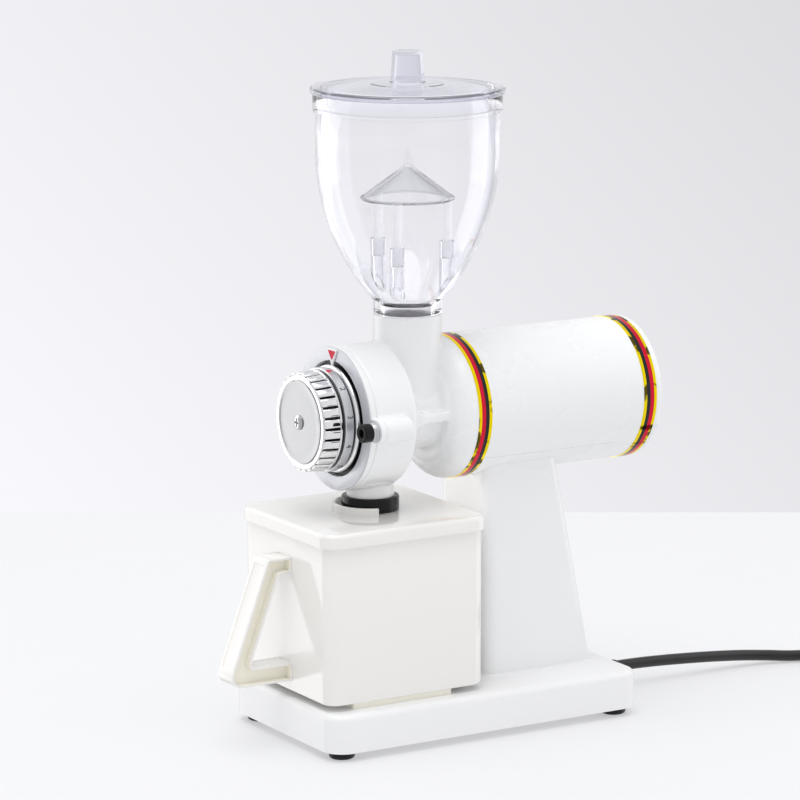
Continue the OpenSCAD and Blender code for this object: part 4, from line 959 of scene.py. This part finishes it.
class GRINDER_OT_head(PieceOperator, bpy.types.Operator):
    """Casts the head: chamber, throat, neck, bell and spout in one soft form"""

    bl_idname = "grinder.head"
    bl_label = "Grinder head"

    def make(self, sizes):
        casting = from_node("head_casting", "grinder_body")
        flare = turned("flare", [(15.3, 6), (18.4, 44), (18.7, 20), (19.6, 8), (19.6, 6)], on_axis(0), "Z", 96)
        combine(flare, round_bar("throat", 15.6, -22, 22, on_axis(0), "Y"))
        wall = turned("wall", [(20, -17.2), (28, -17.2), (28, -16.2), (20, -16.2)], on_axis(0), "Y", 96)
        step = turned("step", [(21, 0), (28, 0), (28, -1.2), (26.8, -1.6), (21, -1.6)], on_axis(10.4), "Y", 96)
        ribs = []
        for side in (-1, 1):
            corners = ((-17, -9), (-17, 8), (-12, 6), (-8, 3.2), (12, 2.4), (12, -2.2), (-8, -2.6))
            line = [on_axis(y) + Vector((side * 20, 0, z)) * MM for y, z in corners]
            fin = drawn("fin", line, Vector((side * 10 * MM, 0, 0)))
            with editing(fin):
                choose(fin, "VERT", lambda v: abs(v.co.x) > 25 * MM and v.co.y > HOPPER_Y)
                bpy.ops.transform.translate(value=(-side * 2 * MM, 0, 0))
            ribs.append(fin)
        join(casting, flare, wall, step, *ribs)
        apply_modifier(casting, "REMESH", mode="VOXEL", voxel_size=sizes.cast_grain, use_smooth_shade=True)
        apply_modifier(casting, "SMOOTH", factor=0.5, iterations=4)
        dress(casting, "frame", "white_enamel", "grinder_body", angle=60)
        ring = Span("spout_ring")
        high, out = ring.size.z / MM, ring.size.x / 2 / MM
        outline = [(12.95, 0.3), (13.3, 0), (out - 0.3, 0), (out, 0.3), (out, high - 0.9), (out - 0.3, high - 0.3),
                   (out - 0.9, high), (12.95, high)]
        rubber = turned("spout_rubber", outline, Vector((ring.mid.x, ring.mid.y, ring.low.z)), "Z", 96)
        dress(rubber, "frame", "black_rubber", "spout_ring", look="ring_rubber")


class GRINDER_OT_cover(PieceOperator, bpy.types.Operator):
    """Makes the chamber's cover, the grey surround, the pointer and the two black cap screws"""

    bl_idname = "grinder.cover"
    bl_label = "Front cover"

    def make(self, sizes):
        eased("chamber_cover", "front_cover", "frame", "white_enamel", 0.45, 3)
        eased("dial_surround", "face_plate", "frame", "face_grey", 0.25)
        # A near-black disc on the recess floor behind the dial, painting the shade in the recess
        floor = turned("recess_floor", [(12.4, 0), (30.9, 0), (30.9, 0.25), (12.4, 0.25)],
                       on_axis(-43.8), "Y", 96)
        dress(floor, "frame", "black_steel", look="dark_gap")

        screws, washers = Span("cover_screws"), Span("cover_washers")
        head = (washers.low.y - screws.low.y) / MM
        reach = screws.high.x - 4.9 * MM
        outline = [(0, 0.3), (3.7, 0.3), (4, 0), (4.3, 0), (4.9, 0.6), (4.9, head - 0.4), (4.6, head), (2.5, head),
                   (2.5, head + 6), (0, head + 6)]
        start = Vector((reach, screws.low.y, AXIS_Z))
        near = turned("cap_screw_near", outline, start, "Y", 48, closed=False)
        deselect()
        bpy.ops.mesh.primitive_cylinder_add(vertices=6, radius=2.7 * MM, depth=7 * MM, location=start,
                                            rotation=(math.pi / 2, 0, 0))
        combine(near, settle(added("hex_key")))
        far = from_node("cap_screw_far", "cover_screws")
        with editing(far):
            choose(far, "VERT", lambda v: v.co.x > 0)
            bpy.ops.mesh.delete(type="VERT")
        soften(far, 0.6 * MM, 3)
        for screw in (near, far):
            dress(screw, "frame", "black_steel", "cover_screws")
        eased("cover_screw_washers", "cover_washers", "frame", "plain_steel", 0.2)

        pointer = Span("index_pointer")
        low, high, half = (pointer.low.z - AXIS_Z) / MM, (pointer.high.z - AXIS_Z) / MM, pointer.size.x / 2 / MM

        def wedge(name, inset, front, depth):
            corners = [(-half + inset, high - inset * 0.7, 0.4), (half - inset, high - inset * 0.7, 0.4),
                       (0.5, low + inset * 3.2, 0.2), (-0.5, low + inset * 3.2, 0.2)]
            line = rounded_corners(corners, 4)
            return drawn(name, [Vector((x * MM, front, AXIS_Z + z * MM)) for x, z in line], Vector((0, depth, 0)))

        frame_plate = wedge("pointer_frame", 0, pointer.low.y, pointer.size.y)
        soften(frame_plate, 0.15 * MM)
        dress(frame_plate, "frame", "pointer_red", "index_pointer", look="pointer_white")
        inlay = wedge("pointer_inlay", 1.1, pointer.low.y - 0.12 * MM, 0.3 * MM)
        dress(inlay, "frame", "pointer_red")


class GRINDER_OT_dial(PieceOperator, bpy.types.Operator):
    """Builds the grind dial: number ring, flange, a near-black core that paints the shade in its gaps, fluted knob,
    disc and screw
    """

    bl_idname = "grinder.dial"
    bl_label = "Dial"

    def make(self, sizes):
        ring, knob, disc = Span("number_ring"), Span("dial_knob"), Span("knob_face")
        front = on_line(ring.low.y)
        band = turned("number_band", [(25.4, 0), (27.3, 0), (27.8, 0.35), (27.8, 4.7), (27.3, 5), (25.4, 5)], front,
                      "Y", 128)
        dress(band, "dial", "dial_white", "number_ring")
        flange = turned("dial_flange", [(25.4, 6), (27.7, 6), (28.3, 6.3), (28.7, 6.9), (28.9, 7.6), (28.7, 8.3),
                                         (28.3, 8.9), (27.7, 9.2), (25.4, 9.2)], front, "Y", 128)
        dress(flange, "dial", "chrome", angle=60)
        # A near-black core filling the gap between number band and knob, painting the shade there
        core = turned("dial_core", [(12.6, -1.7), (25.6, -1.7), (25.6, 8), (12.6, 8)], front, "Y", 96)
        dress(core, "dial", "black_plastic", look="dark_gap")

        radius = 27.8 * MM
        for i in range(1, 8):
            deselect()
            bpy.ops.object.text_add()
            digit = added(f"number_{i + 1}")
            digit.data.body = str(i + 1)
            digit.data.size = sizes.digit
            digit.data.extrude = 0.09 * MM
            digit.data.resolution_u = 3
            digit.data.align_x, digit.data.align_y = "CENTER", "CENTER"
            bpy.ops.object.convert(target="MESH")
            digit = added(f"number_{i + 1}")
            turn = sizes.digit_first + i * sizes.digit_step
            digit.rotation_euler = (0, turn, 0)
            digit.location = front + Vector((math.sin(turn) * radius, 2.6 * MM, math.cos(turn) * radius))
            settle(digit)
            dress(digit, "dial", "dial_white", look="number_ink")
        corners = ((-1.3, 1.3), (0, 0.6), (1.3, 1.3), (1, 3), (0, 4.2), (-1, 3))
        line = [front + Vector((x * MM, y * MM, radius - 0.05 * MM)) for x, y in corners]
        mark = drawn("number_first_mark", line, Vector((0, 0, 0.15 * MM)))
        with editing(mark):
            take_all()
            bpy.ops.transform.rotate(value=-sizes.digit_first, orient_axis="Y", center_override=front)
        dress(mark, "dial", "pointer_red")

        knob_front = on_line(knob.low.y)
        # The knob's core under its ribs, near-black to paint the shade in the slots
        core = turned("knob_core", [(22.3, 1.2), (23, 1.2), (23.8, 9.6), (22.3, 9.6)], knob_front, "Y", 112)
        dress(core, "dial", "chrome", look="dark_gap")
        shell = [(22.45, 0.9), (22.45, 0.3), (22.8, 0), (24.6, 0), (25.1, 0.4), (25.1, 1.1), (24.3, 1.5), (12.6, 1.5),
                 (12.6, 0.9)]
        fluted = turned("fluted_knob", shell, knob_front, "Y", 112)
        outline = [(12.6, 9.5), (26.7, 9.5), (27.1, 9.8), (27.1, 10.4), (26.8, 10.7), (12.6, 10.7)]
        flange = turned("knob_flange", outline, knob_front, "Y", 112)
        pitch = TURN / sizes.flutes
        half = math.sin(pitch / 2) * 26.4 * MM - sizes.flute_gap / 2
        rib = block("rib", (-half, 0.5 * MM, 22.7 * MM), (half, 9.6 * MM, 26.3 * MM))
        with editing(rib):
            choose(rib, "VERT", lambda v: v.co.y > 5 * MM and v.co.z > 25 * MM)
            bpy.ops.transform.translate(value=(0, 0, 0.8 * MM))
            choose(rib, "VERT", lambda v: v.co.z < 25 * MM)
            bpy.ops.transform.resize(value=(0.9, 1, 1))
        bevel_edges(rib, lambda e: middle(e).z > 26 * MM and runs_along(e, 1), half * 0.6, 6)
        bevel_edges(rib, lambda e: middle(e).z > 25.5 * MM and not runs_along(e, 1) and abs(e.calc_face_angle(0)) > 0.6,
                    0.55 * MM, 3)
        ribs = []
        for i in range(sizes.flutes):
            bar = copied(rib, f"rib_{i}", Vector())
            bar.rotation_euler = (0, (i + 0.5) * pitch, 0)
            bar.location = knob_front
            ribs.append(settle(bar))
        bpy.data.objects.remove(rib)
        # Paints shade on the ribs' lower flanks, next to the slots between them
        painted_slot_shade_reach = 25.7 * MM
        for piece in (fluted, flange, *ribs):
            mark_faces(piece, "flank", lambda f: piece in ribs
                       and math.hypot(f.center.x, f.center.z - AXIS_Z) < painted_slot_shade_reach)
        join(fluted, flange, *ribs)
        dress(fluted, "dial", "chrome", "dial_knob", look="knob_chrome")

        face = on_line(disc.high.y)
        outline = [(0, 0), (22.35, 0), (22.35, -0.7), (21.9, -1.1), (21.2, -1.15), (20.8, -0.95), (17, -1.07),
                   (12, -1.2), (7, -1.28), (3.4, -1.3), (2.8, -1.2), (0, -1.2)]
        plate = turned("knob_disc", outline, face, "Y", 128, closed=False)
        dress(plate, "dial", "chrome", "knob_face", look="spun_disc")
        screw = turned("knob_cross_screw", [(0, -0.9), (4, -0.9), (4, -1.7), (3.5, -2.3), (2.2, -2.75), (0, -2.9)],
                       face, "Y", 48, closed=False)
        for low, high in (((-2.3, -0.5), (2.3, 0.5)), ((-0.5, -2.3), (0.5, 2.3))):
            combine(screw, block("slot", face + Vector((low[0], -3, low[1])) * MM,
                                 face + Vector((high[0], -1.6, high[1])) * MM))
        dress(screw, "dial", "chrome", "knob_screw", look="plain_steel")


class GRINDER_OT_hopper(PieceOperator, bpy.types.Operator):
    """Blows the clear hopper, its bean guard and its lid"""

    bl_idname = "grinder.hopper"
    bl_label = "Hopper"

    def make(self, sizes):
        hopper, lid = Span("hopper"), Span("hopper_lid")
        foot = Vector((0, HOPPER_Y, Span("hopper_collar").low.z))
        height = (hopper.high.z - foot.z) / MM
        neck, collar, rim = 16.0, 22.5, height - 9.5
        bulge, wall = 119.5, 2.5
        hub = (49 - bulge, height - 30.76)
        outer = arc(hub, bulge, -41.8, 0, 32)
        inner = arc(hub, bulge - wall, -44.8, 0, 32)
        mid_wall = arc(hub, bulge - wall / 2, -42.5, 0, 32)
        outline = ([(12.5, 0.6), (13.1, 0), (14.2, 0), (14.7, 0.6), (14.7, neck), (17.9, neck), (18.3, neck + 0.4),
                    (18.3, collar - 0.6), (18.5, collar + 0.2)] + outer + [(49, rim - 0.6), (49.4, rim), (50.1, rim),
                   (50.5, rim + 0.5), (50.5, height - 0.5), (50.1, height), (46.9, height), (46.5, height - 0.5)]
                   + inner[::-1])
        bowl = turned("bean_hopper", outline, foot, "Z", 128)
        dress(bowl, "hopper", "clear_plastic", "hopper", "hopper_collar", angle=40)
        inside = turned("inside", [(0, mid_wall[0][1])] + mid_wall + [(0, hub[1])], foot, "Z", 128, closed=False)
        socket_top, rod_foot = 263.03 * MM, 253.53 * MM
        spots = [Vector((math.cos(a), math.sin(a), 0)) * 22 * MM + Vector((0, HOPPER_Y, 0))
                 for a in map(math.radians, (-45, 75, 195))]
        for i, spot in enumerate(spots):
            outline = [(2.3, -30.5), (4.05, -30.5), (4.05, -0.4), (3.7, 0), (3, 0), (3, -9.5), (2.3, -9.6)]
            socket = turned(f"rod_socket_{i + 1}", outline, spot + UP * socket_top, "Z", 40)
            combine(socket, copied(inside, "keep", Vector()), "INTERSECT")
            dress(socket, "hopper", "clear_plastic", look="clear_rod", angle=40)
        bpy.data.objects.remove(inside)

        rim_z = 286.33 * MM
        outline = [(0, 19.2), (0.8, 18.9), (24.2, 1.5), (24.8, 1.4), (25.2, 1), (25.2, 0.3), (24.9, 0), (22.6, 0),
                   (22, 0.4), (0.6, 16.6), (0, 16.8)]
        cone = turned("bean_cone", outline, Vector((0, HOPPER_Y, rim_z)), "Z", 96, closed=False)
        for i, spot in enumerate(spots):
            outline = [(0, 0.05), (2.5, 0.05), (2.85, 0.4), (2.85, 33.4), (2.4, 33.9), (0, 33.9)]
            rod = turned(f"guard_rod_{i + 1}", outline, spot + UP * rod_foot, "Z", 40, closed=False)
            dress(rod, "hopper", "clear_plastic", "bean_guard", look="milky_rod", angle=40)

        def off_axis(face):
            return math.hypot(face.center.x, face.center.y - HOPPER_Y)

        # Marks the guard's outer rim for painted edge shade
        mark_faces(cone, "rim", lambda f: off_axis(f) > 24 * MM and f.center.z < rim_z + 1.45 * MM, 0.7)
        dress(cone, "hopper", "clear_plastic", "bean_guard", look="clear_cone", angle=25)

        edge = Vector((0, HOPPER_Y, hopper.high.z))
        top = (lid.high.z - hopper.high.z) / MM
        foot_z = top - 16.5
        outline = [(0, top), (7.4, top), (8, top - 0.5), (8.2, top - 2), (9, foot_z + 0.6), (9.6, foot_z),
                   (19.4, foot_z - 0.5), (19.8, foot_z - 0.9), (21, foot_z - 1), (50.7, 3.3), (51.4, 3.1),
                   (51.8, 2.6), (51.8, 0.6), (51.3, 0.05), (50.7, 0.05), (50.4, 0.4), (50.4, 1.6), (50, 1.9),
                   (46.2, 2), (45.9, 1.7), (45.9, -7.6), (45.5, -8), (44.3, -8), (43.9, -7.6), (43.9, 1.8),
                   (43.6, 2.1), (21, foot_z - 2.6), (8.4, foot_z - 2), (7, foot_z - 1), (6, top - 2.4),
                   (5.6, top - 2), (0, top - 2)]
        cover = turned("hopper_cover", outline, edge, "Z", 128, closed=False)
        # Marks the lid's outer edge and raised top for a lighter painted edge shade
        mark_faces(cover, "rim", lambda f: off_axis(f) > 50.9 * MM
                   or off_axis(f) > 7.2 * MM and f.center.z > edge.z + foot_z * MM, 0.25)
        dress(cover, "lid", "clear_plastic", "hopper_lid", look="clear_lid", angle=12)


class GRINDER_OT_bin(PieceOperator, bpy.types.Operator):
    """Moulds the grounds bin, its handle and its lid"""

    bl_idname = "grinder.bin"
    bl_label = "Grounds bin"

    def make(self, sizes):
        span, lid, grip = Span("grounds_bin"), Span("bin_lid"), Span("bin_handle")
        wall = 2.5 * MM
        box = block("bin_box", span.low, span.high)
        bevel_edges(box, upright, sizes.bin_corner, 10)
        with editing(box):
            choose(box, "FACE", lambda f: f.normal.z > 0.9)
            bpy.ops.mesh.inset(thickness=wall)
            push((0, 0, -span.size.z + wall))
        bevel_edges(box, lambda e: all(v.co.z < span.low.z + 1e-6 for v in e.verts), 1.4 * MM, 4)
        bevel_edges(box, above(span.high.z), 0.4 * MM, 2)
        dress(box, "bin", "ivory_plastic", "grounds_bin")

        lid_top, lid_low = span.high.z + 7.5 * MM, span.high.z + 0.02 * MM
        cover = block("bin_cover", (lid.low.x, lid.low.y, lid_low), (lid.high.x, lid.high.y, lid_top))
        bevel_edges(cover, upright, sizes.bin_corner + 1.6 * MM, 10)
        bevel_edges(cover, above(lid_top), sizes.bin_lid_edge, 6)
        with editing(cover):
            choose(cover, "FACE", lambda f: f.normal.z < -0.9)
            bpy.ops.mesh.inset(thickness=4.4 * MM)
            push((0, 0, lid.low.z - lid_low))
            bpy.ops.mesh.inset(thickness=2.2 * MM)
            push((0, 0, lid_top - 3 * MM - lid.low.z))
        spout = Vector((0, Span("spout_ring").mid.y, lid_top))
        combine(cover, round_bar("hole", 12, -20, 5, spout, "Z", 72))
        collar = turned("collar", [(18.8, -0.6), (20.4, -0.6), (20.4, 3.8), (20.1, 4.2), (19.1, 4.2), (18.8, 3.8)],
                        spout, "Z", 96)
        combine(collar, block("rear", spout + Vector((-30, -6.2, -5)) * MM, spout + Vector((30, 30, 9)) * MM))
        combine(cover, collar, "UNION")
        dress(cover, "bin", "ivory_plastic", "bin_lid")

        top, foot = (grip.high.z - span.low.z) / MM, (grip.low.z - span.low.z) / MM
        reach, top_reach, arm_t, foot_t, grip_t = 39.2, 14.3, 8.4, 9.8, 9.2
        way = Vector((reach - top_reach, top - foot))
        shift = grip_t * way.length / way.y

        def inner(z):
            return top_reach + way.x * (top - z) / way.y - shift

        arm_z, foot_z = top - arm_t, foot + foot_t
        corners = [(0, top, 0), (-top_reach, top, 2), (-reach, foot, 6), (0, foot, 0), (0, foot_z, 0),
                   (-inner(foot_z), foot_z, 2), (-inner(arm_z), arm_z, 2), (0, arm_z, 0)]
        line = rounded_corners(corners, 6)
        half = grip.size.x / 2
        handle = drawn("bin_grip", [Vector((-half, span.low.y + y * MM, span.low.z + z * MM)) for y, z in line],
                       Vector((2 * half, 0, 0)))
        with editing(handle):
            for side in (-1, 1):
                choose(handle, "FACE", lambda f: f.normal.x * side > 0.9)
                bpy.ops.mesh.inset(thickness=sizes.handle_rim)
                push((-side * sizes.handle_recess, 0, 0))
            choose(handle, "FACE", lambda f: f.normal.y < -0.9 and f.calc_area() > 2e-4)
            bpy.ops.mesh.inset(thickness=2.4 * MM)
            bpy.ops.mesh.extrude_region_shrink_fatten(TRANSFORM_OT_shrink_fatten={"value": -0.3 * MM})
        soften(handle, 0.3 * MM, 3, 50)
        depth = sizes.handle_recess
        # Paints a warm glow in the handle's channel, for light coming through the translucent plastic
        mark_faces(handle, "recess", lambda f: 0.4 * depth < half - abs(f.center.x) < 1.1 * depth)
        dress(handle, "bin", "ivory_plastic", "bin_handle", look="handle_ivory")


class GRINDER_OT_switch(PieceOperator, bpy.types.Operator):
    """Makes the rocker switch on the column's far side"""

    bl_idname = "grinder.switch"
    bl_label = "Switch"

    def make(self, sizes):
        eased("switch_bezel", "switch_frame", "frame", "black_plastic", 0.35)
        eased("switch_key", "switch_rocker", "rocker", "black_plastic", 0.4, 3)


class GRINDER_OT_inner(PieceOperator, bpy.types.Operator):
    """Gives the solids that stay in view their finishes"""

    bl_idname = "grinder.inner"
    bl_label = "Inner pieces"

    def make(self, sizes):
        for part in frame["record"]["subparts"]:
            node = frame["nodes"][part["node"]]
            if node.hide_render:
                continue
            node.data.materials.clear()
            node.data.materials.append(MADE[part["material_slot"]])


class GRINDER_OT_finishes(bpy.types.Operator):
    """Mixes the materials"""

    bl_idname = "grinder.finishes"
    bl_label = "Finishes"

    def execute(self, context):
        make_finishes(context.scene.grinder_colours)
        return {"FINISHED"}


def sky(scene, ambient, slant, back):
    """A studio all round: a pale backdrop for the camera, and soft light for everything else"""
    world = bpy.data.worlds.new("studio")
    scene.world = world
    world.use_nodes = True
    tree = world.node_tree
    tree.nodes.clear()
    way = put(tree, "ShaderNodeTexCoord").outputs["Generated"]

    def along(direction):
        node = put(tree, "ShaderNodeVectorMath", operation="DOT_PRODUCT", Vector=way)
        node.inputs[1].default_value = direction
        return node.outputs["Value"]

    def plus(a, b):
        return math_node(tree, "ADD", a, b)

    def times(a, b):
        return math_node(tree, "MULTIPLY", a, b)

    middle_tone, darkest, brightest, falls_right, falls_up, horizon = 0.868, 0.66, 0.95, -0.72, -0.64, 0.19
    sideways = along(VIEW_RIGHT)
    level = plus(plus(times(sideways, falls_right), times(plus(along(UP), horizon), falls_up)), middle_tone)
    level = math_node(tree, "MINIMUM", math_node(tree, "MAXIMUM", level, darkest), brightest)
    tint = put(tree, "ShaderNodeVectorMath", operation="SCALE", Vector=(0.995, 0.992, 1.03), Scale=level)
    backdrop = put(tree, "ShaderNodeBackground", Color=tint.outputs[0])
    behind = math_node(tree, "POWER", math_node(tree, "MAXIMUM", along(VIEW_FAR), 0.0), 2.0)
    level = plus(times(behind, back), times(plus(times(sideways, slant), 1.0), ambient))
    light = put(tree, "ShaderNodeBackground", Color=(0.985, 0.99, 1, 1), Strength=level)
    path = put(tree, "ShaderNodeLightPath")
    seen = math_node(tree, "MAXIMUM", path.outputs["Is Camera Ray"], path.outputs["Is Transmission Ray"])
    mix = put(tree, "ShaderNodeMixShader")
    for socket, output in zip(mix.inputs, (seen, light.outputs[0], backdrop.outputs[0])):
        tree.links.new(output, socket)
    put(tree, "ShaderNodeOutputWorld", Surface=mix.outputs[0])


def softbox(name, place, target, width, height, power):
    deselect()
    bpy.ops.object.light_add(type="AREA", location=place)
    lamp = added(name)
    lamp.rotation_euler = (Vector(target) - Vector(place)).to_track_quat("-Z", "Y").to_euler()
    lamp.data.shape = "RECTANGLE"
    lamp.data.size, lamp.data.size_y = width, height
    lamp.data.energy = power
    lamp.visible_camera = False
    return lamp


class GRINDER_OT_stage(bpy.types.Operator):
    """Sets up the floor, the backdrop and the lights"""

    bl_idname = "grinder.stage"
    bl_label = "Stage"

    def execute(self, context):
        scene, stage = context.scene, context.scene.grinder_stage
        scene.view_settings.view_transform = "Standard"
        sky(scene, stage.ambient, stage.slant, stage.back)
        deselect()
        wide, deep, horizon = 12, 6, 0.51
        bpy.ops.mesh.primitive_plane_add(size=1, location=(0, 0, 0))
        floor = added("floor")
        floor.scale = (wide, deep, 1)
        floor.rotation_euler = (0, 0, math.atan2(VIEW_RIGHT.y, VIEW_RIGHT.x))
        floor.location = VIEW_FAR * (horizon - deep / 2)
        settle(floor)
        floor.data.materials.append(finish("floor_sheet", tuple(stage.floor), (0.55, 0.65, 8), (0.01, 3),
                                           Emission_Color=(0.99, 0.99, 1, 1), Emission_Strength=stage.glow))
        floor.visible_glossy = False
        centre = at(0, 0, 170)
        softbox("top_softbox", (0.1, -0.3, 1.9), centre, 1.6, 1.6, stage.top_power)
        for name, place, share in (("right_card", (0.3, 1.05, 0.3), 0.95), ("left_card", (-0.95, -0.55, 0.3), 1.6)):
            card = softbox(name, place, (0, 0, place[2]), 0.85, 1.8, stage.card_power * share)
            card.visible_diffuse = False
        fill = softbox("gap_fill", at(0, 24.6, 124), at(0, 60, 124), 0.06, 0.02, stage.gap_power)
        fill.visible_glossy = False
        return {"FINISHED"}


class VIEW3D_PT_grinder(bpy.types.Panel):
    """Lists the steps that build the grinder"""

    bl_label = "Grinder"
    bl_space_type = "VIEW_3D"
    bl_region_type = "UI"
    bl_category = "Grinder"

    def draw(self, context):
        for step in STEPS:
            self.layout.operator(step.bl_idname)


STEPS = (GRINDER_OT_finishes, GRINDER_OT_camera, GRINDER_OT_cord, GRINDER_OT_base, GRINDER_OT_feet,
         GRINDER_OT_column, GRINDER_OT_motor, GRINDER_OT_head, GRINDER_OT_cover, GRINDER_OT_dial,
         GRINDER_OT_hopper, GRINDER_OT_bin, GRINDER_OT_switch, GRINDER_OT_inner, GRINDER_OT_stage)
GROUPS = (("grinder_sizes", GrinderSizes), ("grinder_colours", GrinderColours), ("grinder_stage", GrinderStage))


def register():
    for name, kind in GROUPS:
        bpy.utils.register_class(kind)
        setattr(bpy.types.Scene, name, PointerProperty(type=kind))
    for kind in (*STEPS, VIEW3D_PT_grinder):
        bpy.utils.register_class(kind)


def unregister():
    for kind in (VIEW3D_PT_grinder, *reversed(STEPS)):
        bpy.utils.unregister_class(kind)
    for name, kind in reversed(GROUPS):
        delattr(bpy.types.Scene, name)
        bpy.utils.unregister_class(kind)


def main():
    register()
    for step in STEPS:
        getattr(bpy.ops.grinder, step.bl_idname.split(".")[1])()
    deselect()


if __name__ == "__main__":
    main()
